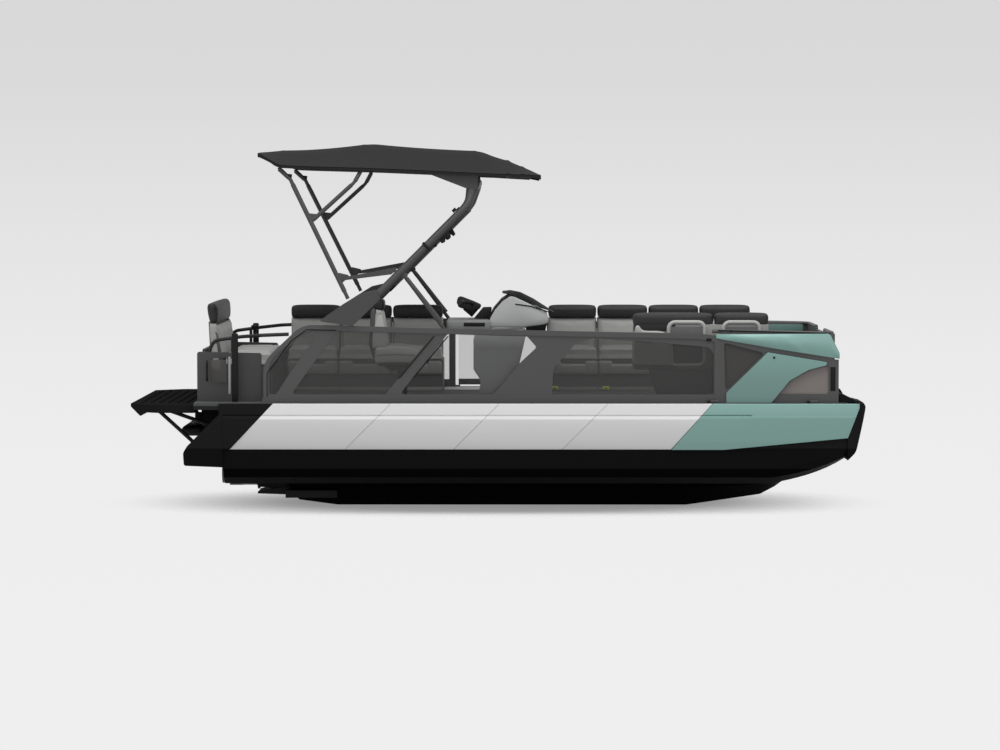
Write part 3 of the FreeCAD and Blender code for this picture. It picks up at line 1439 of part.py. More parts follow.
def console_body():
    outline = [console_point(console_rear_foot_run, 0.0),
               console_point(console_toe_run, console_toe_height) + (30.0,),
               console_point(0.0, console_knee_height) + (30.0,),
               console_point(0.0, console_shelf_height) + (30.0,),
               dash_rear, console_nose + (40.0,),
               console_point(console_front_run, console_front_height) + (80.0,),
               console_point(console_front_run - 60.0, 0.0)]
    body = side_prism(outline, console_y[0], console_y[1])
    foot_hole = side_prism([console_point(-60.0, footwell_low), console_point(-60.0, footwell_high),
                            console_point(footwell_run, footwell_high) + (60.0,),
                            console_point(footwell_run, footwell_low) + (60.0,)], footwell_y[0],
                            footwell_y[1])
    return body.cut(foot_hole)


def column_foot():
    """Where the steering column's axis meets the slope of the dash."""
    share = (column_run - dash_rear_run) / (dash_pad_run - dash_rear_run)
    height = dash_rear_height + (dash_pad_height - dash_rear_height) * share
    return Vector(console_rear_x + column_run, (dash_y[0] + dash_y[1]) / 2.0, deck_z + height)


def column_axis():
    tilt = math.radians(column_tilt)
    return Vector(-math.sin(tilt), 0, math.cos(tilt))


def console_dash():
    outline = [dash_rear, dash_pad + (30.0,), console_point(dash_peak_run, dash_peak_height) + (30.0,),
               console_point(dash_brow_run, dash_brow_height) + (40.0,),
               console_point(dash_nose_run, dash_nose_height) + (30.0,), console_nose]
    dash = side_prism(outline, dash_y[0], dash_y[1])
    foot = column_foot()
    collar = rod(foot - column_axis() * 60.0, foot + column_axis() * (swing_gap - fit_gap),
                 column_radius + 14.0)
    return dash.fuse(collar).removeSplitter().cut(nodes["console_body"])


def visor_line(lift):
    rear = console_point(visor_rear_run, dash_peak_height + visor_rear_lift + lift)
    bend = console_point(visor_bend_run, dash_peak_height + visor_bend_lift + lift)
    front = console_point(visor_front_run, dash_brow_height + visor_front_lift + lift)
    return [rear, bend + (60.0,), front]


def windshield():
    sheet = side_prism(visor_line(visor_thickness) + visor_line(0.0)[::-1], dash_y[0] + visor_inset,
                       dash_y[1] - visor_inset)
    bend = Vector(*visor_line(2.0)[1])
    front = Vector(*visor_line(2.0)[2])
    top_rear = bend + (front - bend) * 0.2
    top_front = bend + (front - bend) * 0.75
    base_z = deck_z + dash_brow_height - 60.0
    foot = side_prism([(top_rear.x, top_rear.y), (top_front.x, top_front.y), (top_front.x, base_z),
                       (top_rear.x, base_z)], dash_y[0] + 2.0 * visor_inset, dash_y[1] - 2.0 * visor_inset)
    return sheet.fuse(foot).removeSplitter().cut(nodes["console_dash"]).cut(nodes["console_body"])


def steering_bar():
    foot = column_foot()
    axis = column_axis()
    head = foot + axis * column_length
    tilt = math.radians(column_tilt)
    back = Vector(-math.cos(tilt), 0, -math.sin(tilt))
    across = Vector(0, 1, 0)
    pieces = [rod(foot + axis * swing_gap, head, column_radius)]
    left = head + across * bar_half + back * bar_sweep + axis * bar_rise
    right = head - across * bar_half + back * bar_sweep + axis * bar_rise
    inner_left = head + across * 70.0 - axis * 14.0
    inner_right = head - across * 70.0 - axis * 14.0
    pieces.append(rod_chain([left, inner_left, inner_right, right], bar_radius))
    for end, inner in ((left, inner_left), (right, inner_right)):
        pieces.append(rod(end, end + (inner - end).normalize() * grip_length, grip_radius))
    pieces.append(Part.makeCylinder(46.0, 34.0, head - axis * 26.0, axis))
    return fuse_all(pieces)


nodes["console_body"] = console_body()
nodes["console_dash"] = console_dash()
nodes["windshield"] = windshield()
nodes["steering_bar"] = steering_bar()


# Helm chair on its pedestal
pedestal_top_z = deck_z + pedestal_height


def chair_pedestal():
    plate = Part.makeCylinder(pedestal_foot, pedestal_plate, Vector(chair_x, chair_y, deck_z))
    column = Part.makeCylinder(pedestal_radius, pedestal_height, Vector(chair_x, chair_y, deck_z))
    return plate.fuse(column).removeSplitter()


def chair():
    y_low = chair_y - chair_half
    y_high = chair_y + chair_half
    low = pedestal_top_z + fit_gap
    seat_low = deck_z + chair_seat_low
    seat_high = deck_z + chair_seat_high
    back_top = deck_z + chair_back_height
    head_top = deck_z + chair_head_height
    arm_top = deck_z + arm_height
    plate = box(chair_x - chair_seat_rear + 60.0, chair_x + chair_seat_front - 60.0, y_low + 60.0,
                y_high - 60.0,
                low, seat_low)
    front = chair_x + chair_seat_front
    seat = [(chair_x - chair_seat_rear, seat_low, 20.0), (chair_x - chair_seat_rear, seat_high),
            (front - 30.0, seat_high, 40.0), (front, seat_high - 40.0, 30.0),
            (front - 30.0, seat_low, 30.0)]
    rear = chair_x - chair_back_rear
    face = rear + chair_back_depth
    back = [(rear + chair_back_lean, seat_low + 20.0, 20.0), (rear, back_top, 40.0), (face, back_top, 40.0),
            (face + chair_back_lean, seat_high + 40.0, 30.0), (face + chair_back_lean, seat_low + 20.0)]
    head = [(rear + 12.0, back_top - 60.0), (rear + 12.0, head_top, 30.0), (face - 18.0, head_top, 30.0),
            (face - 18.0, back_top - 60.0)]
    pieces = [plate, side_prism(seat, y_low, y_high), side_prism(back, y_low, y_high),
              side_prism(head, chair_y - chair_head_half, chair_y + chair_head_half)]
    arm = [(rear + 100.0, arm_top - 40.0), (rear + 100.0, arm_top, 15.0), (front - 110.0, arm_top, 25.0),
           (front - 110.0, arm_top - 40.0, 25.0)]
    for y in (y_low - arm_width + 8.0, y_high - 8.0):
        pieces.append(side_prism(arm, y, y + arm_width))
    return fuse_all(pieces)


nodes["chair_pedestal"] = chair_pedestal()
nodes["chair"] = chair()


# Canopy: one sheet with a flat crown and sides that fall to the edges
def tower_point(run, rise, y):
    return Vector(tower_x + run, y, fence_top_z + rise)


def leg_rise(run):
    """Height of the middle of the arch's leg over the fence's top, at a run along the boat."""
    share = (run - tower_foot_run) / (tower_knee_run - tower_foot_run)
    return tower_foot_rise + (tower_knee_rise - tower_foot_rise) * share


def canopy():
    sections = []
    for run, crown_drop, edge_drop in canopy_stations:
        crown = canopy_top_z - crown_drop
        edge = canopy_top_z - edge_drop
        sections.append((tower_x + run,
                         [(-canopy_half, edge), (-canopy_flat_half, crown), (canopy_flat_half, crown),
                                         (canopy_half, edge), (canopy_half, edge - canopy_skin),
                                         (canopy_flat_half, crown - canopy_skin),
                                         (-canopy_flat_half, crown - canopy_skin),
                                         (-canopy_half, edge - canopy_skin)]))
    return loft_along_x(sections)


def canopy_under(run, y):
    """Height of the sheet's underside at a run from the tower's foot and a distance from the centre line."""
    for first, second in zip(canopy_stations, canopy_stations[1:]):
        if run <= second[0]:
            break
    share = (run - first[0]) / (second[0] - first[0])
    crown = first[1] + (second[1] - first[1]) * share
    edge = first[2] + (second[2] - first[2]) * share
    across = max(0.0, (abs(y) - canopy_flat_half) / (canopy_half - canopy_flat_half))
    return canopy_top_z - crown - (edge - crown) * across - canopy_skin


def steepest(run_step, y_step):
    """The underside's steepest fall over the rails, along the boat or across it."""
    runs = [station[0] for station in canopy_stations]
    falls = []
    for first, second in zip(runs, runs[1:]):
        middle = (first + second) / 2.0
        ahead = canopy_under(middle + run_step, canopy_rail_y + y_step)
        behind = canopy_under(middle - run_step, canopy_rail_y - y_step)
        falls.append(abs(ahead - behind) / (2.0 * (run_step + y_step)))
    return max(falls)


def rail_run_point(run, y):
    """A point of the frame's centre line, its tube just clear of the sheet where that is steepest.
    Here x is the run from the tower's foot."""
    slant = math.sqrt(1.0 + steepest(1.0, 0.0) ** 2 + steepest(0.0, 1.0) ** 2)
    return Vector(run, y, canopy_under(run, y) - (canopy_rail_radius + fit_gap) * slant)


def canopy_rail_point(run, y):
    return rail_run_point(run, y) + Vector(tower_x, 0.0, 0.0)


def canopy_bow(run):
    """A bow across the canopy, from rail to rail under its crown."""
    points = [rail_run_point(run, y) for y in (-canopy_rail_y, -canopy_flat_half, canopy_flat_half,
                                               canopy_rail_y)]
    return mitred_tube(points, canopy_bow_radius)


def canopy_frame():
    rear, front = canopy_rail_ends
    runs = [rear] + [station[0] for station in canopy_stations if rear < station[0] < front] + [front]
    rail = mitred_tube([rail_run_point(run, -canopy_rail_y) for run in runs], canopy_rail_radius)
    bows = [canopy_bow(run) for run in (strut_head_run, upper_strut_head_run, tower_head_run, front)]
    frame = fuse_all([rail, to_port(rail)] + bows)
    frame.translate(Vector(tower_x, 0.0, 0.0))
    return frame


nodes["canopy"] = canopy()
nodes["canopy_frame"] = canopy_frame()


# Tower: base fairings, arch, rear struts and ties, front braces
def tower_base():
    outline = [(-443.0, 30.0, 10.0), (-148.0, -10.0), (96.0, 227.0, 30.0),
               (59.0, 303.0, 20.0),
               (-87.0, 269.0, 40.0), (-235.0, 177.0, 60.0)]
    placed = [(tower_x + corner[0], fence_top_z + corner[1]) + tuple(corner[2:]) for corner in outline]
    half = tower_base_width / 2.0
    return starboard_prism(placed, tower_y - half, tower_y + half).cut(nodes["fence_starboard"])


def tower_arch():
    foot = tower_point(tower_foot_run, tower_foot_rise, -tower_y)
    knee = tower_point(tower_knee_run, tower_knee_rise, -tower_top_y - 40.0)
    head = tower_point(tower_head_run, tower_head_rise, -tower_top_y + 60.0)
    middle = tower_point(tower_head_run, tower_head_rise, 0.0)
    leg = bent_tube([foot, knee, head, middle], tower_radius, tower_bend)
    top = canopy_top_z
    gusset = [(tower_x + gusset_run, top),
              (tower_x + gusset_run, canopy_under(gusset_run, canopy_rail_y) - 12.0),
              (knee.x - 20.0, head.z - 52.0), (head.x + 30.0, head.z - 60.0), (head.x + 50.0, top)]
    web_y = tower_top_y
    web = starboard_prism(gusset, web_y - gusset_width / 2.0, web_y + gusset_width / 2.0)
    side = leg.fuse(web.cut(canopy_shadow())).removeSplitter()
    arch = fuse_all([side, to_port(side)])
    return arch.cut(nodes["tower_bases"]).cut(nodes["canopy_frame"]).cut(nodes["canopy"])


def canopy_shadow():
    """All that lies above the canopy's underside."""
    sections = []
    for run, crown_drop, edge_drop in canopy_stations:
        crown = canopy_top_z - crown_drop - canopy_skin
        edge = canopy_top_z - edge_drop - canopy_skin
        high = canopy_top_z + 500.0
        sections.append((tower_x + run,
                         [(-canopy_half, edge), (-canopy_flat_half, crown), (canopy_flat_half, crown),
                                         (canopy_half, edge), (canopy_half, high), (-canopy_half, high)]))
    return loft_along_x(sections)


def tower_struts():
    foot = tower_point(strut_foot_run, strut_foot_rise, -tower_y)
    head = canopy_rail_point(strut_head_run, -canopy_rail_y)
    knee = tower_point(strut_knee_run, tower_head_rise + strut_knee_rise, -canopy_rail_y)
    low = knee + (foot - knee) * upper_strut_share
    upper_knee = tower_point(upper_strut_knee_run, tower_head_rise, low.y)
    high = canopy_rail_point(upper_strut_head_run, -canopy_rail_y)
    tie_rear = knee + (foot - knee) * tie_rear_share
    tie_front = tower_point(tie_front_run, leg_rise(tie_front_run) + tie_front_lift, -tower_y + 20.0)
    starboard = fuse_all([bent_tube([foot, knee, head], strut_tube, 90.0),
                          bent_tube([low, upper_knee, high], upper_strut_tube, 120.0),
                          tie_bar(tie_rear, tie_front)])
    starboard = starboard.cut(nodes["tower_bases"]).cut(nodes["tower_arch"]).cut(nodes["canopy_frame"])
    return on_both_sides(largest(starboard.cut(nodes["canopy"])))


def tie_bar(rear, front):
    """A flat bar from the strut to the arch's leg, deeper at its front end."""
    near = min(abs(rear.y), abs(front.y))
    outline = [(rear.x, rear.z - tie_rear_depth / 2.0), (rear.x, rear.z + tie_rear_depth / 2.0),
               (front.x, front.z + tie_front_depth / 2.0), (front.x, front.z - tie_front_depth / 2.0)]
    return starboard_prism(outline, near, near + tie_thickness)


def tower_braces():
    high = tower_point(brace_high_run, leg_rise(brace_high_run) - brace_high_drop, -tower_y + 20.0)
    low = tower_point(brace_low_run, -50.0, -brace_y)
    brace = rod(high, low, strut_tube)
    return on_both_sides(brace.cut(nodes["tower_arch"]).cut(nodes["fence_starboard"]))


nodes["tower_bases"] = on_both_sides(tower_base())
nodes["tower_arch"] = tower_arch()
nodes["tower_struts"] = tower_struts()
nodes["tower_braces"] = tower_braces()

os.makedirs("parts", exist_ok=True)
for name, shape in nodes.items():
    shape.exportStep("parts/" + name + ".step")
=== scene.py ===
import json
import math

import bmesh
import bpy
import numpy as np
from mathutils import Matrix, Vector


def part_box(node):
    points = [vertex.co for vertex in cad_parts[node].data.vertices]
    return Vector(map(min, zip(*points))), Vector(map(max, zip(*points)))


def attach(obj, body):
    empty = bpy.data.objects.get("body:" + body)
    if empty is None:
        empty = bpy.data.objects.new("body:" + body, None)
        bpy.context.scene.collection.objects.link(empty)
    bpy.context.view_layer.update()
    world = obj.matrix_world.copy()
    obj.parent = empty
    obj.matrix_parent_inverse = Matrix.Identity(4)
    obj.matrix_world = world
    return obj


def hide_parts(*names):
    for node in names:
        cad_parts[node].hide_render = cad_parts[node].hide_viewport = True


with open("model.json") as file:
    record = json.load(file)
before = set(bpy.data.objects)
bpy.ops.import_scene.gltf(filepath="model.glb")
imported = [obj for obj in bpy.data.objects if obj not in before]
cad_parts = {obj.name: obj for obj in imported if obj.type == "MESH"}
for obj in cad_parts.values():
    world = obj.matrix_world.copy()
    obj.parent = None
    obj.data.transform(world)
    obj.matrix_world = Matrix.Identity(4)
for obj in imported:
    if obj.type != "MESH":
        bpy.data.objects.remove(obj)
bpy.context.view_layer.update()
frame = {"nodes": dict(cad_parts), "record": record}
nodes = frame["nodes"]
scene = bpy.context.scene


# Camera, light and floor
camera_place = Vector((0.133, -29.0, 2.762))
camera_lens = 115.0
camera_pitch = math.radians(3.17)
camera_yaw = math.radians(0.215)
backdrop_stops = ((-0.14, 0.865), (-0.075, 0.850), (-0.03, 0.812), (0.035, 0.700), (0.30, 0.60))
white = (1.0, 1.0, 1.0, 1.0)
floor_reach = (3.3, 1.55)


def set_camera():
    data = bpy.data.cameras.new("camera")
    data.lens = camera_lens
    data.sensor_width = 36.0
    data.clip_end = 200.0
    camera = bpy.data.objects.new("camera", data)
    camera.location = camera_place
    camera.rotation_euler = (math.pi / 2.0 - camera_pitch, 0.0, camera_yaw)
    scene.collection.objects.link(camera)
    scene.camera = camera


def wire(made, *inputs, **named):
    """Give a shader node its inputs, in order or by name: values, sockets or other nodes' first outputs."""
    pairs = list(zip(made.inputs, inputs)) + [(made.inputs[key.replace("_", " ")], value)
                                              for key, value in named.items()]
    for socket, value in pairs:
        if isinstance(value, bpy.types.Node):
            value = value.outputs[0]
        if isinstance(value, bpy.types.NodeSocket):
            made.id_data.links.new(value, socket)
        elif value is not None:
            socket.default_value = value


def node(tree, kind, *inputs, **values):
    """A shader node with its properties set, and then its inputs."""
    made = tree.nodes.new("ShaderNode" + kind)
    for key in [key for key in values if hasattr(made, key)]:
        setattr(made, key, values.pop(key))
    wire(made, *inputs, **values)
    return made


def ramp(tree, along, stops, kind):
    """A colour or grey by place, from one (place, value) stop to the next."""
    low, high = stops[0][0], stops[-1][0]
    made = node(tree, "ValToRGB", node(tree, "MapRange", along, low, high))
    made.color_ramp.interpolation = kind
    for index, (spot, value) in enumerate(stops):
        at = (spot - low) / (high - low)
        elements = made.color_ramp.elements
        stop = elements[index] if index < 2 else elements.new(at)
        stop.position = at
        stop.color = (*three(value), 1.0)
    return made


def three(value):
    return (value, value, value) if isinstance(value, float) else value


def set_world():
    """White light on the object, and past it a pale backdrop for the camera, darker towards the top."""
    world = bpy.data.worlds.new("studio")
    scene.world = world
    world.use_nodes = True
    tree = world.node_tree
    tree.nodes.clear()
    path = node(tree, "LightPath").outputs
    seen = node(tree, "Math", path["Is Camera Ray"], path["Is Glossy Ray"], operation="MAXIMUM")
    seen = node(tree, "Math", seen, path["Is Transmission Ray"], operation="MAXIMUM")
    height = node(tree, "SeparateXYZ", node(tree, "TexCoord").outputs["Generated"]).outputs["Z"]
    shown = node(tree, "Background", ramp(tree, height, backdrop_stops, "B_SPLINE"), 1.0)
    lit = node(tree, "Background", white, 0.50)
    node(tree, "OutputWorld", node(tree, "MixShader", seen, lit, shown))


def area_light(name, place, target, size, power):
    data = bpy.data.lights.new(name, "AREA")
    data.shape = "RECTANGLE"
    data.size = size[0]
    data.size_y = size[1]
    data.energy = power
    lamp = bpy.data.objects.new(name, data)
    lamp.location = place
    lamp.rotation_euler = (Vector(target) - Vector(place)).to_track_quat("-Z", "Y").to_euler()
    lamp.visible_camera = False
    scene.collection.objects.link(lamp)


def set_lights():
    area_light("overhead", (0.0, -2.5, 8.0), (0.0, 0.0, 0.5), (13.0, 7.0), 700.0)
    area_light("front_left", (-6.0, -12.0, 4.0), (-0.5, 0.0, 1.0), (8.0, 5.0), 150.0)
    area_light("front_right", (7.0, -12.0, 4.0), (0.5, 0.0, 1.0), (8.0, 5.0), 120.0)


def make_floor():
    """A pale disc that keeps the shadow under the hulls and fades into the backdrop around it."""
    bpy.ops.mesh.primitive_circle_add(vertices=128, radius=22.0, fill_type="NGON")
    floor = bpy.context.object
    floor.name = "floor"
    m = bpy.data.materials.new("floor_pale")
    m.use_nodes = True
    tree = m.node_tree
    tree.nodes.clear()
    place = node(tree, "TexCoord").outputs["Object"]
    scaled = node(tree, "VectorMath", place, (1.0 / floor_reach[0], 1.0 / floor_reach[1], 1.0),
                  operation="MULTIPLY")
    length = node(tree, "VectorMath", scaled, operation="LENGTH").outputs["Value"]
    fade = node(tree, "MapRange", length, 0.5, 1.15, interpolation_type="SMOOTHSTEP")
    glow = node(tree, "Emission", white, 0.86)
    pale = node(tree, "MixShader", 0.30, node(tree, "BsdfDiffuse", (0.80, 0.80, 0.80, 1.0)), glow)
    node(tree, "OutputMaterial", node(tree, "MixShader", fade, pale, node(tree, "BsdfTransparent")))
    floor.data.materials.append(m)


# Materials: each is a principled shader with patchy colour, uneven gloss, grain and eased edges
finishes = {}
patch_scale = 2.5


def noise(tree, place, scale, detail=3.0):
    return node(tree, "TexNoise", Vector=place, Scale=scale, Detail=detail, Roughness=0.55)


def grain_value(tree, place, kind, pitch):
    """The height of a grain of one kind: woven threads, pebbles, brushed streaks or plain noise."""
    if kind == "weave":
        waves = [node(tree, "TexWave", wave_type="BANDS", bands_direction=direction, Vector=place,
                      Scale=math.pi / (10.0 * pitch), Distortion=0.4, Detail=1.0).outputs["Fac"]
                 for direction in ("X", "Y")]
        return node(tree, "Math", *waves, operation="MULTIPLY")
    if kind == "pebble":
        cells = node(tree, "TexVoronoi", feature="DISTANCE_TO_EDGE", Vector=place, Scale=1.0 / pitch,
                     Randomness=0.9)
        return node(tree, "MapRange", cells, 0.0, 0.25)
    if kind == "brushed":
        return noise(tree, node(tree, "Mapping", place, Scale=(1.0, 30.0, 30.0)), 1.0 / pitch, 2.0)
    return noise(tree, place, 1.0 / pitch)


def finish(name, color, roughness, grain, metallic=0.0, spread=0.06, edge=0.003, worn=0.0, gloss_spread=0.08,
           coat=0.0, sheen=0.0, alpha=1.0, specular=0.5):
    """A material. grain holds (kind, pitch in metres, depth in metres); worn lightens the edges."""
    m = finishes[name] = bpy.data.materials.new(name)
    m.use_nodes = True
    tree = m.node_tree
    shade = tree.nodes["Principled BSDF"]
    wire(shade, Metallic=metallic, Coat_Weight=coat, Coat_Roughness=0.08, Sheen_Weight=sheen,
         Sheen_Roughness=0.5, Specular_IOR_Level=specular, Alpha=alpha)
    place = node(tree, "TexCoord").outputs["Object"]
    low, high = [[c * (1.0 + change) for c in three(color)] + [1.0] for change in (-spread, spread)]
    tint = node(tree, "Mix", data_type="RGBA", A=low, B=high, Factor=noise(tree, place, patch_scale))
    paint = tint.outputs["Result"]
    rough = node(tree, "MapRange", noise(tree, place, patch_scale * 4.0, 5.0),
                 To_Min=max(0.02, roughness - gloss_spread), To_Max=min(1.0, roughness + gloss_spread))
    normal = node(tree, "Bevel", edge, samples=4) if edge > 0.0 else None
    if worn > 0.0:
        paint = worn_paint(tree, paint, normal, color, worn)
    for kind, pitch, depth in grain:
        normal = node(tree, "Bump", Strength=1.0, Distance=depth, Normal=normal,
                      Height=grain_value(tree, place, kind, pitch))
    wire(shade, Roughness=rough, Normal=normal, Base_Color=paint)


def worn_paint(tree, paint, normal, color, worn):
    """The paint, lighter where the eased normal leaves the face's own, which is along edges."""
    own = node(tree, "NewGeometry").outputs["Normal"]
    dot = node(tree, "VectorMath", normal, own, operation="DOT_PRODUCT").outputs["Value"]
    rim = node(tree, "MapRange", dot, 0.995, 0.9, 0.0, worn)
    pale = [min(1.0, c * 1.6 + 0.06) for c in three(color)] + [1.0]
    return node(tree, "Mix", data_type="RGBA", Factor=rim, A=paint, B=pale).outputs["Result"]


def by_place(name, socket, stops, along=(0.0, 0.0, 1.0), kind="LINEAR"):
    """Set one of a material's sockets by place along a direction, in steps or evenly between the stops."""
    tree = finishes[name].node_tree
    place = node(tree, "TexCoord").outputs["Object"]
    place = node(tree, "VectorMath", place, along, operation="DOT_PRODUCT").outputs["Value"]
    wire(tree.nodes["Principled BSDF"], **{socket: ramp(tree, place, stops, kind)})


moulded = (("noise", 0.0016, 0.00012), ("noise", 0.12, 0.0007))
sprayed = (("noise", 0.0012, 0.00003),)
powder = (("noise", 0.0010, 0.00002),)
vinyl = (("pebble", 0.0022, 0.00012), ("noise", 0.035, 0.0009))
wavy = (("noise", 0.4, 0.0004),)
tiles = (("weave", 0.004, 0.0006), ("noise", 0.2, 0.0005))
woven = (("weave", 0.0016, 0.0003), ("noise", 0.3, 0.002))
teal = (0.185, 0.335, 0.305)
gloss = {"gloss_spread": 0.02, "coat": 0.25}
pane = {"edge": 0.0, "gloss_spread": 0.03, "specular": 0.25}
soft = {"spread": 0.05, "sheen": 0.1, "edge": 0.0}

finish("hull_black", (0.0035, 0.0035, 0.0037), 0.5, moulded, spread=0.12, edge=0.006, specular=0.01)
finish("panel_white", (0.70, 0.705, 0.71), 0.30, sprayed, spread=0.008, **gloss)
finish("panel_teal", teal, 0.34, sprayed, spread=0.02, edge=0.006, **gloss)
# A darker copy of the teal: painted shade for the skins inside the bow fence.
finish("teal_shade", (0.085, 0.165, 0.148), 0.42, sprayed, spread=0.02)
finish("engine_paint", (0.05, 0.05, 0.055), 0.45, powder, 0.3)
finish("frame_black", (0.007, 0.007, 0.0075), 0.58, moulded, specular=0.2)
finish("platform_black", (0.014, 0.014, 0.0145), 0.80, moulded, specular=0.0)
finish("deck_grey", (0.062, 0.063, 0.066), 0.80, tiles, spread=0.12)
finish("strut_black", 0.008, 0.45, powder, specular=0.15, edge=0.0)
finish("trim_black", 0.008, 0.50, powder, specular=0.15, edge=0.0)
finish("stern_black", (0.012, 0.012, 0.0125), 0.42, powder, specular=0.3)
finish("ladder_metal", (0.52, 0.53, 0.54), 0.28, (("brushed", 0.02, 0.00004),), 1.0, edge=0.001)
finish("eye_steel", 0.60, 0.25, (("brushed", 0.01, 0.00004),), 1.0, edge=0.002)
finish("jet_metal", (0.09, 0.09, 0.095), 0.48, (("noise", 0.004, 0.0003),), 0.6, worn=0.3)
finish("pedestal_metal", (0.06, 0.06, 0.062), 0.38, powder, 0.5)
finish("fence_grey", (0.056, 0.056, 0.057), 0.42, powder, spread=0.05)
finish("tower_grey", (0.050, 0.050, 0.051), 0.50, powder, spread=0.05, edge=0.0, specular=0.35)
finish("pane_smoke", (0.058, 0.058, 0.056), 0.16, wavy, alpha=0.52, **pane)
finish("pane_bow", (0.24, 0.215, 0.20), 0.16, wavy, alpha=0.9, **pane)
finish("pane_clear", 0.10, 0.10, (("noise", 0.4, 0.0003),), alpha=0.12, edge=0.0, gloss_spread=0.02,
       specular=0.2)
# A paler copy of the base grey for the lips under the seats: painted light on the bases' rounded upper edge.
finish("base_light", (0.25, 0.25, 0.24), 0.45, moulded)
finish("kick_grey", (0.24, 0.24, 0.23), 0.5, moulded)
finish("base_grey", (0.085, 0.085, 0.088), 0.50, moulded)
finish("vinyl_light", (0.37, 0.37, 0.355), 0.52, vinyl, **soft)
# A paler copy of the seat vinyl for the helm chair: painted light, as the chair stands lit while the benches
# sit in shade.
finish("chair_vinyl", (0.50, 0.50, 0.48), 0.52, vinyl, **soft)
finish("vinyl_dark", (0.021, 0.021, 0.022), 0.55, vinyl, spread=0.08, edge=0.0, specular=0.3)
finish("thread_grey", 0.20, 0.75, (("noise", 0.001, 0.0002),), edge=0.0)
finish("console_grey", (0.33, 0.335, 0.335), 0.36, sprayed, spread=0.03, coat=0.15, edge=0.006)
# A darker copy of the console grey: painted shade for the shelf behind the dash.
finish("console_shade", (0.17, 0.172, 0.172), 0.45, sprayed, spread=0.03, edge=0.006)
finish("visor_dark", (0.005, 0.005, 0.0055), 0.45, sprayed, specular=0.03)
finish("bar_black", (0.010, 0.010, 0.0105), 0.60, (("pebble", 0.003, 0.0003),), edge=0.002, specular=0.25)
finish("canopy_fabric", (0.019, 0.019, 0.020), 0.92, woven, spread=0.08, edge=0.0, specular=0.12)
finish("light_trim", (0.27, 0.27, 0.265), 0.40, powder, edge=0.0015)
# A pale grey for a patch on the deck at the port gate: a painted pool of light where light falls through the
# gate.
finish("threshold_pale", (0.60, 0.60, 0.59), 0.45, powder, edge=0.002)
finish("latch_green", (0.72, 0.80, 0.03), 0.45, powder, edge=0.001)
finishes["seat_vinyl"] = finishes["vinyl_light"]

# Stops along the boat, up it or along the windows' slant: (place in metres, colour or grey). The hull's,
# white panels', teal panels' and console's stops paint light and shade by height.
boat_axis, window_slant = (1.0, 0.0, 0.0), (1.0, 0.0, -0.8333)
smoke_stops = ((-3.6, 0.44), (-1.785, 0.13), (-0.70, 0.46), (2.4, 0.46))
bow_stops = ((1.5, (0.06, 0.058, 0.056)), (2.35, (0.24, 0.215, 0.20)), (3.1, (0.24, 0.215, 0.20)))
stern_stops = ((0.9, (0.056, 0.056, 0.057)), (1.412, (0.012, 0.012, 0.0125)),
               (1.8, (0.012, 0.012, 0.0125)))
# Painted shade on the hull, by height: darkest below the chine, where it faces the shaded floor, then lighter
# in steps at the chine and at the cladding's foot.
hull_painted_shade_stops = ((-1.0, 0.0012), (0.40, (0.0065, 0.0065, 0.0067)), (0.58, (0.014, 0.014, 0.0143)),
              (1.0, (0.014, 0.014, 0.0143)))
# Shares of the teal by height, painting light and shade: darker towards the side panels' foot, a painted
# highlight on the shoulder and top band, painted shade at the foot of the bow panels above them, and lighter
# again up to the beaks' tops.
teal_light_and_shade_shares = ((0.57, 0.92), (0.86, 1.0), (0.885, 1.20), (0.975, 1.35), (0.985, 0.74), (1.20, 0.80),
               (1.40, 1.02), (1.60, 1.18))
teal_painted_light_stops = [(z, tuple(c * share for c in teal)) for z, share in teal_light_and_shade_shares]
# Painted shade on the console, by height: darkest low on its body, lighter up to the dash.
console_painted_shade_stops = ((0.9, (0.10, 0.10, 0.102)), (1.45, (0.16, 0.162, 0.163)), (1.60, (0.33, 0.335, 0.335)),
                 (2.0, (0.33, 0.335, 0.335)))
# Painted light and shade on the white panels, by height: darker towards their foot, and lighter from the
# shoulder under the groove up through the top band.
white_painted_light_stops = ((0.57, (0.560, 0.562, 0.562)), (0.835, (0.680, 0.682, 0.680)), (0.845, 0.80), (1.0, 0.80))
by_place("pane_smoke", "Alpha", smoke_stops, window_slant, "CONSTANT")
by_place("pane_bow", "Base Color", bow_stops, boat_axis, "CONSTANT")
by_place("stern_black", "Base Color", stern_stops, kind="CONSTANT")
by_place("hull_black", "Base Color", hull_painted_shade_stops, kind="CONSTANT")
by_place("panel_teal", "Base Color", teal_painted_light_stops)
by_place("console_grey", "Base Color", console_painted_shade_stops)
by_place("panel_white", "Base Color", white_painted_light_stops)


def dress_nodes():
    """Give every node of the frame the finish of its slot."""
    for part in frame["record"]["subparts"]:
        materials = nodes[part["node"]].data.materials
        materials.clear()
        materials.append(finishes[part["material_slot"]])
    nodes["swim_platform"].data.materials[0] = finishes["platform_black"]


# Building pieces in mesh code
def rounded(low, high, corner, steps):
    """The points of a rectangle with round corners, a quarter turn in so many steps."""
    line = []
    for cx, cy, start in ((1, 1, 0.0), (0, 1, 0.25), (0, 0, 0.5), (1, 0, 0.75)):
        for k in range(steps + 1):
            a = 2.0 * math.pi * (start + 0.25 * k / steps)
            u = (high[0] - corner[0] if cx else low[0] + corner[0]) + corner[0] * math.cos(a)
            v = (high[1] - corner[1] if cy else low[1] + corner[1]) + corner[1] * math.sin(a)
            line.append((u, v))
    return line


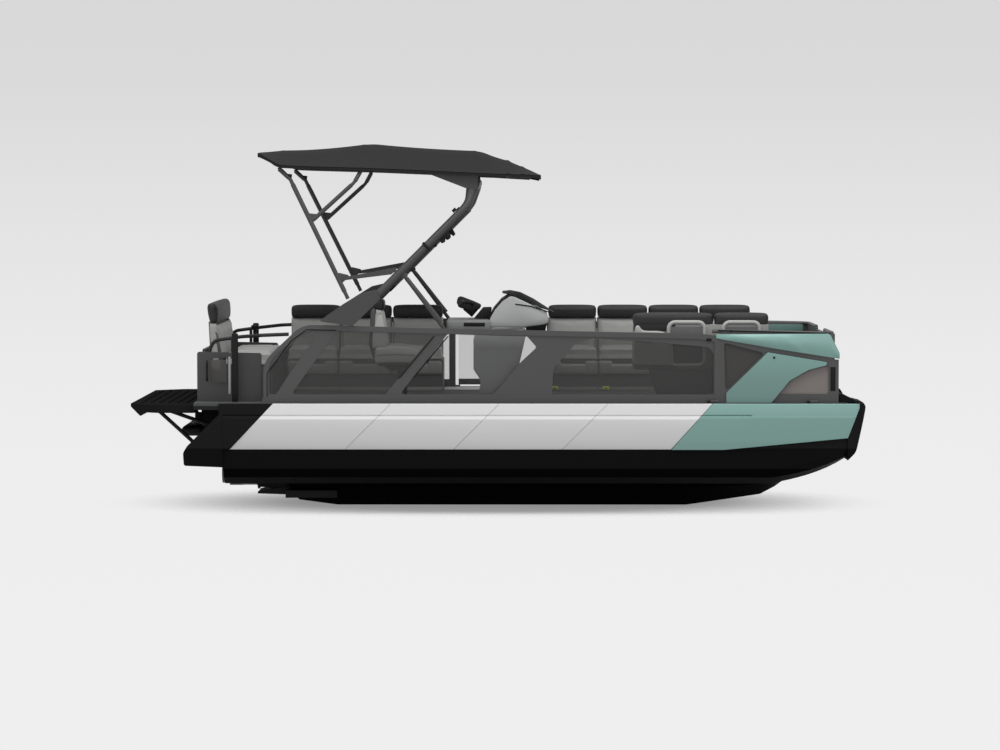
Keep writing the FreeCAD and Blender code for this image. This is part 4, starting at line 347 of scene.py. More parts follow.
class Shapes:
    """Vertices and faces of several shapes that become one piece."""

    def __init__(self):
        self.verts = []
        self.faces = []
        self.marks = []

    def add(self, verts, faces, mark=0):
        base = len(self.verts)
        self.verts += [tuple(v) for v in verts]
        self.faces += [tuple(base + i for i in face) for face in faces]
        self.marks += [mark] * len(faces)

    def add_bmesh(self, bm, mark=0):
        bm.verts.index_update()
        self.add([v.co for v in bm.verts], [[v.index for v in f.verts] for f in bm.faces], mark)
        bm.free()

    def block(self, low, high, ease, mark=0, segments=2):
        """A box between two corners with its edges rounded."""
        bm = bmesh.new()
        bmesh.ops.create_cube(bm, size=1.0)
        low, high = Vector(low), Vector(high)
        size = high - low
        for v in bm.verts:
            v.co = Vector((low.x + (v.co.x + 0.5) * size.x, low.y + (v.co.y + 0.5) * size.y,
                           low.z + (v.co.z + 0.5) * size.z))
        ease = min(ease, 0.45 * min(size))
        bmesh.ops.bevel(bm, geom=bm.edges[:], offset=ease, segments=segments, affect="EDGES", profile=0.5)
        self.add_bmesh(bm, mark)

    def prism(self, outline, near, far, ease, mark=0):
        """An outline in the side view, carried across from near to far, with its edges rounded."""
        bm = bmesh.new()
        face = bm.faces.new([bm.verts.new((x, near, z)) for x, z in outline])
        made = bmesh.ops.extrude_face_region(bm, geom=[face])
        step = Vector((0.0, far - near, 0.0))
        for item in made["geom"]:
            if isinstance(item, bmesh.types.BMVert):
                item.co += step
        bmesh.ops.recalc_face_normals(bm, faces=bm.faces[:])
        sharp = [e for e in bm.edges if e.calc_face_angle(0.0) > 0.5]
        bmesh.ops.bevel(bm, geom=sharp, offset=ease, segments=2, affect="EDGES", profile=0.5)
        self.add_bmesh(bm, mark)

    def tube(self, points, radius, mark=0, sides=10, closed=False):
        """A round tube along a line of points, with its ends closed."""
        points = [Vector(p) for p in points]
        count = len(points)
        rings = []
        side = None
        for index, here in enumerate(points):
            before = points[index - 1] if index > 0 or closed else here
            after = points[(index + 1) % count] if index < count - 1 or closed else here
            along = (after - before).normalized()
            if side is None:
                side = along.orthogonal().normalized()
            side = (side - along * side.dot(along)).normalized()
            up = along.cross(side)
            r = radius[index] if isinstance(radius, (list, tuple)) else radius
            rings.append([here + (side * math.cos(a) + up * math.sin(a)) * r
                          for a in [2.0 * math.pi * k / sides for k in range(sides)]])
        verts = [v for ring in rings for v in ring]
        faces = []
        for i in range(count if closed else count - 1):
            a = i * sides
            b = ((i + 1) % count) * sides
            for k in range(sides):
                n = (k + 1) % sides
                faces.append((a + k, a + n, b + n, b + k))
        if not closed:
            faces.append(tuple(range(sides - 1, -1, -1)))
            faces.append(tuple((count - 1) * sides + k for k in range(sides)))
        self.add(verts, faces, mark)

    def disc(self, centre, axis, radius, thickness):
        """A short round boss along an axis, its far rim eased."""
        axis = Vector(axis).normalized()
        centre = Vector(centre)
        cut = 0.15 * min(radius, thickness)
        self.tube([centre, centre + axis * (thickness - cut), centre + axis * thickness],
                  [radius, radius, radius - cut], 0, 20)

    def put(self, name, kinds, slot=None, body="boat", angle=35.0):
        """Make the piece: smooth, but flat across edges sharper than the angle. Its slot is not used."""
        mesh = bpy.data.meshes.new(name)
        mesh.from_pydata(self.verts, [], self.faces)
        kinds = kinds.split()
        for kind in kinds:
            mesh.materials.append(finishes[kind])
        mesh.polygons.foreach_set("use_smooth", [True] * len(mesh.polygons))
        mesh.polygons.foreach_set("material_index", self.marks)
        mesh.update()
        bm = bmesh.new()
        bm.from_mesh(mesh)
        for edge in bm.edges:
            edge.smooth = edge.calc_face_angle(0.0) < math.radians(angle)
        bm.to_mesh(mesh)
        bm.free()
        piece = bpy.data.objects.new(name, mesh)
        scene.collection.objects.link(piece)
        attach(piece, body)
        slot or kinds[0]
        return piece


def line_height(line, x, column=1):
    """The value in a column of a line's points, at a place between two of them."""
    for first, second in zip(line, line[1:]):
        if x <= second[0] + 1e-9:
            break
    return first[column] + (second[column] - first[column]) * (x - first[0]) / (second[0] - first[0])


def curve_points(corners, steps=6):
    """A smooth line through the corners."""
    points = [Vector(c) for c in corners]
    padded_points = [points[0] * 2.0 - points[1]] + points + [points[-1] * 2.0 - points[-2]]
    line = []
    for i in range(len(points) - 1):
        a, b, c, d = padded_points[i:i + 4]
        for k in range(steps):
            t = k / steps
            line.append(0.5 * ((2.0 * b) + (c - a) * t + (2.0 * a - 5.0 * b + 4.0 * c - d) * t * t
                               + (3.0 * b - 3.0 * c + d - a) * t ** 3))
    line.append(points[-1])
    return line


# Stuffed cushions: a block is blown up as cloth, then fitted to each place that it fills
cushion_voxel = 0.011
cushion_pressure = 4.0
cushion_frames = 20


def loose_block(verts, faces):
    mesh = bpy.data.meshes.new("cushion_block")
    mesh.from_pydata(verts, [], faces)
    block = bpy.data.objects.new("cushion_block", mesh)
    scene.collection.objects.link(block)
    return block


def taken(block):
    """The points and faces of a block after its modifier, and the block is gone."""
    done = block.evaluated_get(bpy.context.evaluated_depsgraph_get()).to_mesh()
    verts = np.array([v.co[:] for v in done.vertices])
    faces = [tuple(p.vertices) for p in done.polygons]
    bpy.data.objects.remove(block)
    return verts, faces


class Cushion:
    """A stuffed block's points before and after, both in a unit box, with its faces."""

    def __init__(self, size, flat_axis=2, flat_high=False, corner=0.018, cap=0.016):
        self.size = Vector(size)
        self.cap = cap
        self.flat_axis = flat_axis
        self.flat_high = flat_high
        self.rest, self.faces = self.remeshed(corner)
        self.shape = self.blown()
        self.shape = self.crowned(self.shape)
        self.rest = (self.rest - self.rest.min(0)) / np.ptp(self.rest, axis=0)
        self.shape = (self.shape - self.shape.min(0)) / np.ptp(self.shape, axis=0)

    def remeshed(self, corner):
        """The block's points and faces, evenly spaced."""
        shapes = Shapes()
        half = self.size / 2.0
        shapes.block(-half, half, corner, segments=3)
        block = loose_block(shapes.verts, shapes.faces)
        remesh = block.modifiers.new("remesh", "REMESH")
        remesh.mode = "VOXEL"
        remesh.voxel_size = cushion_voxel
        return taken(block)

    def blown(self):
        """The block's points after its cloth has filled, none of them further off than the cap."""
        block = loose_block([tuple(v) for v in self.rest], self.faces)
        cloth = block.modifiers.new("cloth", "CLOTH")
        cloth.settings.use_pressure = True
        cloth.settings.uniform_pressure_force = cushion_pressure
        cloth.settings.effector_weights.gravity = 0.0
        cloth.settings.tension_stiffness = 15.0
        cloth.settings.bending_stiffness = 0.5
        cloth.collision_settings.use_collision = False
        for number in range(1, cushion_frames + 1):
            scene.frame_set(number)
        verts, faces = taken(block)
        scene.frame_set(1)
        move = verts - self.rest
        length = np.linalg.norm(move, axis=1, keepdims=True)
        return self.rest + move * np.minimum(1.0, self.cap / np.maximum(length, 1e-9))

    def crowned(self, shape):
        """Keep the side that rests on something flat, and let the rest take the blown shape."""
        axis = self.flat_axis
        low, high = self.rest[:, axis].min(), self.rest[:, axis].max()
        share = (self.rest[:, axis] - low) / (high - low)
        share = 1.0 - share if self.flat_high else share
        hold = np.clip(share / 0.5, 0.0, 1.0)[:, None]
        moved = self.rest + (shape - self.rest) * hold
        across = [k for k in range(3) if k != axis]
        bulge = np.ones(len(moved))
        for k in across:
            reach = np.abs(self.rest[:, k]) / np.abs(self.rest[:, k]).max()
            bulge *= np.clip(1.0 - reach ** 4, 0.0, 1.0)
        push = 0.010 * bulge * hold[:, 0]
        moved[:, axis] += -push if self.flat_high else push
        return moved

    def groove(self, axis, at, width, depth_axis, depth):
        """Press a sewn channel across the free side, at a share of the other axis."""
        gap = np.abs(self.rest[:, axis] - at) / width
        dip = np.where(gap < 1.0, 0.5 + 0.5 * np.cos(math.pi * gap), 0.0)
        free = self.shape[:, depth_axis]
        upper = np.clip((1.0 - free if self.flat_high else free) * 2.0 - 1.0, 0.0, 1.0)
        sign = 1.0 if self.flat_high else -1.0
        self.shape[:, depth_axis] += sign * dip * upper * depth

    def follow(self, points):
        """Where points on the block's surface, in the unit box, have gone."""
        moved = []
        for p in points:
            gap = ((self.rest - np.array(p)) ** 2).sum(1)
            near = np.argsort(gap)[:4]
            moved.append(self.shape[near].mean(0) + np.array(p) - self.rest[near].mean(0))
        return moved

    def rim(self, axis, at):
        """A rounded rectangle round the block at a share of an axis, for piping."""
        others = [k for k in range(3) if k != axis]
        line = rounded((0.01, 0.01), (0.99, 0.99), [0.03 / self.size[k] for k in others], 4)
        dense = []
        for i, (u, v) in enumerate(line):
            nu, nv = line[(i + 1) % len(line)]
            parts = 14 if abs(nu - u) + abs(nv - v) > 0.3 else 1
            for k in range(parts):
                t = k / parts
                point = [0.0, 0.0, 0.0]
                point[others[0]] = u + (nu - u) * t
                point[others[1]] = v + (nv - v) * t
                point[axis] = at
                dense.append(point)
        return self.follow(dense)


def add_cushion(shapes, cushion, warp, mark=0, rims=(), rim_mark=1, rim_radius=0.0045):
    """Fit a cushion where warp(u, v, w) puts the corners of its unit box, with piping round it."""
    verts = [warp(*p) for p in cushion.shape]
    shapes.add(verts, cushion.faces, mark)
    for axis, at in rims:
        line = [warp(*p) for p in cushion.rim(axis, at)]
        shapes.tube(line, rim_radius, rim_mark, 6, closed=True)


roll_piping = {"rims": ((0, 0.03), (0, 0.97)), "rim_mark": 3, "rim_radius": 0.003}


def box_warp(low, high, flip_y=False):
    """Places in a box for the corners of the unit box, turned back to front where it faces the other side."""
    low, high = Vector(low), Vector(high)
    size = high - low

    def warp(u, v, w):
        if flip_y:
            v = 1.0 - v
        return Vector((low.x + u * size.x, low.y + v * size.y, low.z + w * size.z))
    return warp


mm = 0.001
unit_gap = 3.0 * mm
seat_cushion = Cushion((0.476, 0.442, 0.129))
for line_at in (0.2, 0.8):
    seat_cushion.groove(0, line_at, 0.03, 2, 0.05)
back_cushion = Cushion((0.476, 0.066, 0.40), flat_axis=1, flat_high=True)
roll_cushion = Cushion((0.476, 0.118, 0.120), corner=0.016, cap=0.005)

bench_sides = {"port_aft_bench": 1, "port_fore_bench": 1, "starboard_bench": -1}
bench_splits = {"port_aft_bench": (-1.472, -0.991), "port_fore_bench": (0.930, 1.410, 1.889),
                "starboard_bench": 2}
lid_bodies = {"port_aft_bench": "port_aft_lid", "port_fore_bench": "port_fore_lid",
              "starboard_bench": "starboard_lid", "stern_bench": "stern_lid"}


def spans_between(low, high, splits):
    """The seats from low to high, parted at the splits or into so many like ones."""
    if isinstance(splits, int):
        splits = [low + k * (high - low) / splits for k in range(1, splits)]
    edges = [low, *splits, high]
    return [(a + unit_gap, b - unit_gap) for a, b in zip(edges, edges[1:])]


def seat_pads(bench, spans, flip):
    """The seat cushions of one bench, which lift with its lid."""
    low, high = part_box(bench + "_seat")
    shapes = Shapes()
    for a, b in spans:
        if bench == "stern_bench":
            warp = box_warp((low.x, a, low.z + 0.001), (high.x, b, high.z))
        else:
            warp = box_warp((a, low.y, low.z + 0.001), (b, high.y, high.z), flip)
        add_cushion(shapes, seat_cushion, warp, rims=((2, 0.86), (2, 0.14)))
    piece = shapes.put(bench + "_cushions", "seat_vinyl thread_grey", None, lid_bodies[bench], 60.0)
    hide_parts(bench + "_seat")


shell_depth = 34.0 * mm
roll_height = 120.0 * mm
roll_gap = 5.0 * mm
roll_proud = 18.0 * mm


def side_back(bench, spans):
    """Backs along the port fence: a rigid shell behind, a light cushion in front and a dark roll on top."""
    low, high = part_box(bench + "_back")
    inner = high.y - 0.100
    neck = high.z - roll_height
    seat_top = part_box(bench + "_seat")[0].z
    shapes = Shapes()
    for a, b in spans:
        face = box_warp((a, inner, seat_top + 0.002), (b, high.y - shell_depth, neck))
        add_cushion(shapes, back_cushion, face, rims=((1, 0.2),))
        roll = box_warp((a + roll_gap - unit_gap, inner - roll_proud, neck + 0.002),
                        (b - roll_gap + unit_gap, high.y, high.z))
        add_cushion(shapes, roll_cushion, roll, 3, **roll_piping)
        shapes.block((a, high.y - shell_depth, seat_top), (b, high.y, neck), 0.008, 2)
    piece = shapes.put(bench + "_backrests", "seat_vinyl thread_grey base_grey vinyl_dark", angle=60.0)
    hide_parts(bench + "_back")


def bench_lip(bench, spans, side):
    """A rounded lip under each seat with a finger dip in its middle, in a paler grey painted as light on the
    base's upper edge, and a pale strip along the deck at the base's foot.
    """
    low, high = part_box(bench + "_base")
    face = low.y if side > 0 else high.y
    shapes = Shapes()

    def strip(x0, x1, z0, z1, proud, sunk=0.040, ease=0.026, mark=0):
        y0, y1 = sorted((face - side * proud, face + side * sunk))
        shapes.block((x0, y0, z0), (x1, y1, z1), ease, mark, 4)
    for a, b in spans:
        middle = (a + b) / 2.0
        half = min(0.106, 0.25 * (b - a))
        strip(a, middle - half, high.z - 0.140, high.z - 0.006, 0.024)
        strip(middle + half, b, high.z - 0.140, high.z - 0.006, 0.024)
        strip(middle - half - 0.030, middle + half + 0.030, high.z - 0.139, high.z - 0.034, 0.023)
        strip(a, b, low.z + 0.001, low.z + 0.034, 0.006, 0.006, 0.003, 1)
    shapes.put(bench + "_lip", "base_light kick_grey", "base_grey", angle=50.0)


lounge_ends = (1.186, 1.900, 2.377)
hoop_spans = ((1.486, 1.835), (1.966, 2.315))
hoop_low, hoop_high = 1.285, 1.697
hoop = 18.0 * mm


def lounge_back():
    """The starboard lounge: backs with dark rolls, pale hoops and inset panels outside, and a side rest."""
    low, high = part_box("starboard_bench_back")
    shapes = Shapes()
    outer, front = low.y, high.y
    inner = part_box("starboard_bench_seat")[0].y - 0.005
    rest_front = 1.588
    for a, b in ((lounge_ends[0] + 0.004, lounge_ends[1] - 0.004), (lounge_ends[1] + 0.004, lounge_ends[2])):
        foot = high.z - 0.30 if a < rest_front else low.z + 0.005
        add_cushion(shapes, back_cushion, box_warp((a, outer + 0.036, foot), (b, inner, high.z - 0.118)),
                    rims=((1, 0.8),))
        roll = box_warp((a, outer + 0.014, high.z - 0.116), (b, inner + 0.016, high.z))
        add_cushion(shapes, roll_cushion, roll, 3, **roll_piping)
    shapes.block((1.56, outer + 0.018, low.z), (high.x, outer + 0.036, high.z - 0.10), 0.006, 4)
    shapes.block((lounge_ends[0] + 0.01, outer + 0.020, 1.60), (1.57, outer + 0.038, high.z - 0.02), 0.006, 3)
    for a, b in hoop_spans:
        line = rounded((a + hoop, hoop_low + hoop), (b - hoop, hoop_high - hoop), (0.055, 0.055), 6)
        shapes.tube([(x, outer + 0.0185, z) for x, z in line], hoop, 0, 12, closed=True)
        shapes.block((a + 0.032, outer + 0.008, 1.315), (b - 0.032, outer + 0.022, 1.640), 0.006, 2)
    outline = [(1.204, 1.300), (1.206, 1.612), (1.212, 1.640), (1.228, 1.655), (1.246, 1.645), (1.262, 1.622),
               (1.280, 1.606), (1.330, 1.603), (1.400, 1.603), (1.440, 1.598), (1.480, 1.585), (1.510, 1.560),
               (1.535, 1.53), (1.545, 1.40), (1.55, 1.300)]
    shapes.prism(outline, outer, front - 0.004, 0.014)
    shapes.block((1.205, outer + 0.01, low.z), (1.55, front - 0.010, 1.302), 0.008, 2)
    piece = shapes.put("starboard_bench_backrests", "seat_vinyl thread_grey base_grey vinyl_dark kick_grey",
                       angle=55.0)
    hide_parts("starboard_bench_back")


def make_benches():
    for bench, side in bench_sides.items():
        low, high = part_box(bench + "_seat")
        spans = spans_between(low.x, high.x, bench_splits[bench])
        seat_pads(bench, spans, side < 0)
        bench_lip(bench, spans, side)
        if side > 0:
            side_back(bench, spans)
        else:
            lounge_back()
    low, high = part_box("stern_bench_seat")
    spans = spans_between(low.y, high.y, 3)
    seat_pads("stern_bench", spans, False)
    stern_back(spans)


def stern_back(spans):
    """The stern bench's backs lean aft over the transom; their dark rolls are the highest of all."""
    low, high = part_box("stern_bench_back")
    shapes = Shapes()
    foot_z, neck_z, top_z = low.z + 0.002, 1.643, high.z + 0.004
    a, b = spans[0][0], spans[-1][1]

    def lower(u, v, w):
        rear = -2.552 - 0.025 * w
        front = -2.440 - 0.052 * w ** 0.8
        return Vector((rear + (front - rear) * v, a + u * (b - a), foot_z + w * (neck_z - foot_z)))

    def top(u, v, w):
        rear = -2.580 - 0.024 * w
        front = -2.497 - 0.012 * w
        return Vector((rear + (front - rear) * v, a + u * (b - a), neck_z - 0.004 + w * (top_z - neck_z)))
    add_cushion(shapes, stern_cushion, lower, rims=((1, 0.8),))
    add_cushion(shapes, stern_roll, top, 3)
    outline = [(-2.450, foot_z), (-2.500, neck_z - 0.1), (-2.566, neck_z + 0.02), (-2.584, neck_z + 0.015),
               (-2.570, foot_z + 0.10), (-2.560, foot_z)]
    shapes.prism(outline, a + 0.01, b - 0.01, 0.006, 2)
    piece = shapes.put("stern_bench_backrests", "seat_vinyl thread_grey base_grey vinyl_dark", angle=60.0)
    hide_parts("stern_bench_back")


stern_cushion = Cushion((1.392, 0.09, 0.25), flat_axis=1)
stern_roll = Cushion((1.392, 0.085, 0.18), corner=0.030, cap=0.008)
for line_at in (1.0 / 3.0, 2.0 / 3.0):
    stern_cushion.groove(0, line_at, 0.012, 1, 0.12)
    stern_roll.groove(0, line_at, 0.008, 2, 0.04)


# Helm chair
def make_chair():
    """The chair's shell, its seat, back and head cushions, and a bolster and a wing on each side."""
    low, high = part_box("chair")
    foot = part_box("chair_pedestal")[1].z
    middle = (low.y + high.y) / 2.0
    half = 0.265
    shapes = Shapes()
    wedge = [(-0.940, foot + 0.002), (-1.015, foot + 0.050), (-0.690, foot + 0.080), (-0.700, foot + 0.062),
             (-0.780, foot + 0.022), (-0.840, foot + 0.002)]
    shapes.prism(wedge, middle - 0.235, middle + 0.235, 0.008, 3)
    shell = [(-1.040, foot + 0.040), (-1.105, foot + 0.130), (-1.138, foot + 0.240), (-1.120, foot + 0.530),
             (-1.100, foot + 0.560), (-1.080, foot + 0.550), (-1.085, foot + 0.230), (-1.050, foot + 0.110),
             (-0.690, foot + 0.090), (-0.690, foot + 0.072), (-1.000, foot + 0.044)]
    shapes.prism(shell, middle - half + 0.035, middle + half - 0.035, 0.008, 2)

    def seat(u, v, w):
        x = -1.040 + u * 0.400
        bottom = foot + 0.075 + 0.030 * u
        return Vector((x, middle + (v - 0.5) * 1.64 * half, bottom + w * (foot + 0.205 + 0.010 * u - bottom)))
    add_cushion(shapes, seat_cushion, seat, rims=((2, 0.86),))

    def back(u, v, w):
        z = foot + 0.190 + w * 0.355
        rear = -1.090 + 0.010 * w
        front = -0.965 - 0.045 * w
        pinch = 1.0 - 0.20 * w
        return Vector((rear + (front - rear) * v, middle + (u - 0.5) * 1.62 * half * pinch, z))
    add_cushion(shapes, chair_back_cushion, back, rims=((1, 0.8),))

    def head(u, v, w):
        rise = high.z - foot - 0.535
        return Vector((-1.100 + v * 0.098, middle + (u - 0.5) * 0.28, foot + 0.535 + w * rise))
    add_cushion(shapes, head_cushion, head, 3, ((0, 0.04), (0, 0.96)), 3, 0.003)
    for side in (-1.0, 1.0):
        def bolster(u, v, w):
            rise = 0.045 * math.sin(math.pi * min(1.0, u * 1.2)) ** 2
            x = -1.085 + u * 0.455
            y = middle + side * (half - 0.040) + (v - 0.5) * 0.074
            low_z = foot + 0.070 + 0.012 * u
            top_z = foot + 0.222 - 0.020 * u + rise * 0.35
            return Vector((x, y, low_z + w * (top_z - low_z)))
        add_cushion(shapes, roll_cushion, bolster, rims=((2, 0.55),))

        def wing(u, v, w):
            x = -1.105 + u * (0.135 - 0.045 * w)
            y = middle + side * (half - 0.040 - 0.045 * w) + (v - 0.5) * 0.060
            return Vector((x, y, foot + 0.205 + w * 0.300))
        add_cushion(shapes, roll_cushion, wing)
    # The chair's vinyl is the paler, painted-light copy of the seat vinyl.
    piece = shapes.put("helm_chair_upholstery", "chair_vinyl thread_grey base_grey vinyl_dark", "seat_vinyl",
                       "helm_chair", 50.0)
    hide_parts("chair")


head_cushion = Cushion((0.28, 0.098, 0.115), corner=0.030, cap=0.008)
chair_back_cushion = Cushion((0.47, 0.085, 0.41), flat_axis=1)


def skin_y(name, x, z, side):
    """How far out a node reaches, at a place in the side view, or None beside it."""
    hit, place, normal, face = nodes[name].ray_cast(Vector((x, side * 3.0, z)), Vector((0.0, -side, 0.0)))
    return place.y if hit else None


# Helm console: dash with a rim, a crowned visor, an aft shelf and the handlebar
helm_y = -0.755


def make_helm():
    """The dash with its dark rim and edges, and the shelf behind it, painted darker as shade."""
    near, far = -1.055, -0.455
    shapes = Shapes()
    dash = [(-0.064, 1.632), (-0.064, 1.710), (-0.019, 1.789), (0.048, 1.866), (0.116, 1.908), (0.160, 1.895),
            (0.263, 1.848), (0.360, 1.800), (0.443, 1.752), (0.452, 1.699), (0.452, 1.664), (0.40, 1.650),
            (0.251, 1.632)]
    shapes.prism(dash, near, far, 0.022)
    rim = [(-0.074, 1.706), (-0.029, 1.794), (0.040, 1.874), (0.112, 1.920), (0.124, 1.908), (0.050, 1.858),
           (-0.014, 1.782), (-0.060, 1.704)]
    shapes.prism(rim, near + 0.012, far - 0.012, 0.003, 1)
    upper = [(0.161, 1.842), (0.297, 1.823), (0.420, 1.784), (0.462, 1.768), (0.462, 1.758), (0.420, 1.772),
             (0.297, 1.811), (0.161, 1.830)]
    lower = [(0.262, 1.634), (0.452, 1.668), (0.452, 1.656), (0.34, 1.634)]
    for y0, y1 in ((near - 0.004, near + 0.010), (far - 0.010, far + 0.004)):
        shapes.prism(upper, y0, y1, 0.002, 1)
        shapes.prism(lower, y0, y1, 0.001, 1)
    # The shelf, in the darker console grey: painted shade on its top.
    shapes.block((-0.440, -1.060, 1.602), (-0.050, -0.470, 1.698), 0.022, 2, 3)
    shapes.block((-0.289, -1.068, 1.641), (-0.104, -1.050, 1.674), 0.008, 1, 3)
    foot = [(0.258, 1.640), (0.440, 1.664), (0.425, 1.600), (0.255, 1.600)]
    shapes.prism(foot, near + 0.02, far - 0.02, 0.004, 1)
    piece = shapes.put("helm_dash", "console_grey trim_black console_shade")
    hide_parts("console_dash")
    make_visor()
    make_handlebar()


visor_top = ((0.048, 1.942), (0.116, 1.951), (0.206, 1.934), (0.319, 1.878), (0.432, 1.806), (0.500, 1.762))
visor_edge = ((0.048, 1.936), (0.116, 1.922), (0.206, 1.872), (0.319, 1.838), (0.432, 1.795), (0.500, 1.758))


def grid(rows, width):
    """The faces between rows of points, and the points round their edge."""
    faces = [(i * width + j, (i + 1) * width + j, (i + 1) * width + j + 1, i * width + j + 1)
             for i in range(rows - 1) for j in range(width - 1)]
    last = rows - 1
    rim = [i * width for i in range(rows)] + [last * width + j for j in range(1, width)]
    rim += [i * width + width - 1 for i in range(last - 1, -1, -1)] + list(range(width - 2, 0, -1))
    return faces, rim


def slab(outer, inner, width, turned=False):
    """Two like sheets of points and the walls between their edges."""
    faces, rim = grid(len(outer) // width, width)
    count = len(outer)
    faces = faces + [tuple(k + count for k in reversed(f)) for f in faces]
    faces += [(b, a, a + count, b + count) for a, b in zip(rim, rim[1:] + rim[:1])]
    return outer + inner, [tuple(reversed(f)) for f in faces] if turned else faces


def make_visor():
    """A dark sheet over the dash, crowned across and falling towards the bow."""
    nx, ny, half, thick = 30, 24, 0.245, 0.006
    rear, front = visor_top[0][0], visor_top[-1][0]
    top = []
    for i in range(nx + 1):
        x = rear + (front - rear) * i / nx
        crown, edge = line_height(visor_top, x), line_height(visor_edge, x)
        taper = 1.0 - 0.18 * (i / nx) ** 2
        for j in range(ny + 1):
            t = 2.0 * j / ny - 1.0
            top.append(Vector((x, helm_y + t * half * taper, edge + (crown - edge) * (1.0 - t * t))))
    shapes = Shapes()
    shapes.add(*slab(top, [v - Vector((0.0, 0.0, thick)) for v in top], ny + 1))
    piece = shapes.put("helm_visor", "visor_dark", angle=50.0)
    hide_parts("windshield")


def make_handlebar():
    """The column's shroud, and a bar with a padded middle and thick grips that turns on it."""
    shroud = Shapes()
    outline = [(-0.203, 1.702), (-0.122, 1.798), (-0.050, 1.800), (-0.045, 1.786), (-0.060, 1.702)]
    shroud.prism(outline, helm_y - 0.080, helm_y + 0.080, 0.006)
    shroud.put("column_shroud", "bar_black")
    shapes = Shapes()
    pad = [(-0.340, 1.800), (-0.356, 1.850), (-0.346, 1.886), (-0.320, 1.896), (-0.200, 1.850),
           (-0.135, 1.820), (-0.150, 1.786), (-0.212, 1.766), (-0.262, 1.776)]
    shapes.prism(pad, helm_y - 0.075, helm_y + 0.075, 0.014)
    bar = ((-0.215, 0.05, 1.825), (-0.225, 0.14, 1.838), (-0.290, 0.20, 1.850), (-0.325, 0.32, 1.852))
    grip = ((-0.300, 0.215, 1.851), (-0.326, 0.325, 1.852))
    for side in (-1.0, 1.0):
        shapes.tube(curve_points([(x, helm_y + side * y, z) for x, y, z in bar]), 0.013, 1, 12)
        shapes.tube([(x, helm_y + side * y, z) for x, y, z in grip], 0.021, 0, 14)
        shapes.disc((-0.325, helm_y + side * 0.322, 1.852), (-0.2, side, 0.0), 0.025, 0.008)
    shapes.tube([(-0.270, helm_y, 1.814), (-0.191, helm_y, 1.7475)], 0.048, 0, 20)
    piece = shapes.put("handlebar_grips", "bar_black trim_black", body="handlebar")
    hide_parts("steering_bar")


# Canopy: one sewn sheet over the tower's bows
# Stations along the boat: place, and how far the crown and the side edge lie under the top
canopy_stations = ((-2.085, 0.077, 0.087), (-1.903, 0.059, 0.195), (-1.707, 0.047, 0.205),
                   (-1.084, 0.0, 0.223), (-0.656, 0.029, 0.241), (-0.121, 0.068, 0.267),
                   (0.092, 0.149, 0.275), (0.324, 0.247, 0.281), (0.386, 0.281, 0.289))
canopy_seams = (-1.903, -1.184, -0.199, 0.092)
canopy_sheet = 0.004
canopy_step = 0.016
canopy_shoulder = 0.48


def smooth_drop(x, column):
    """The drop averaged over 30 mm each way, so that the sheet bends round its bows."""
    low, high = canopy_stations[0][0], canopy_stations[-1][0]
    spots = [min(high, max(low, x + k * 0.03 / 3.0)) for k in range(-3, 4)]
    return sum(line_height(canopy_stations, spot, column) for spot in spots) / len(spots)


def valance(v, low, high):
    """How far the hem hangs under the sheet's edge: more at the front and rear ends than along the sides."""
    end = max(0.0, 1.0 - min(v.x - low.x, high.x - v.x) / 0.10)
    return 0.024 + 0.010 * end


def canopy_bows(high, half, flat_half):
    """Side rails and cross bows close under the sheet."""
    radius = 0.010
    under = 0.003 + canopy_sheet + radius + 0.011

    def spot(x, y):
        crown, edge = smooth_drop(x, 1), smooth_drop(x, 2)
        across = max(0.0, (abs(y) - flat_half) / (half - flat_half))
        return Vector((x, y, high.z - under - crown - (edge - crown) * across))
    shapes = Shapes()
    for side in (-1.0, 1.0):
        shapes.tube([spot(-1.95 + 2.25 * k / 60.0, side * (half - 0.035)) for k in range(61)], radius)
    for x in canopy_seams:
        shapes.tube([spot(x, (half - 0.035) * (k / 24.0 - 1.0)) for k in range(49)], radius)
    piece = shapes.put("canopy_bows", "tower_grey", angle=40.0)
    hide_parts("canopy_frame")


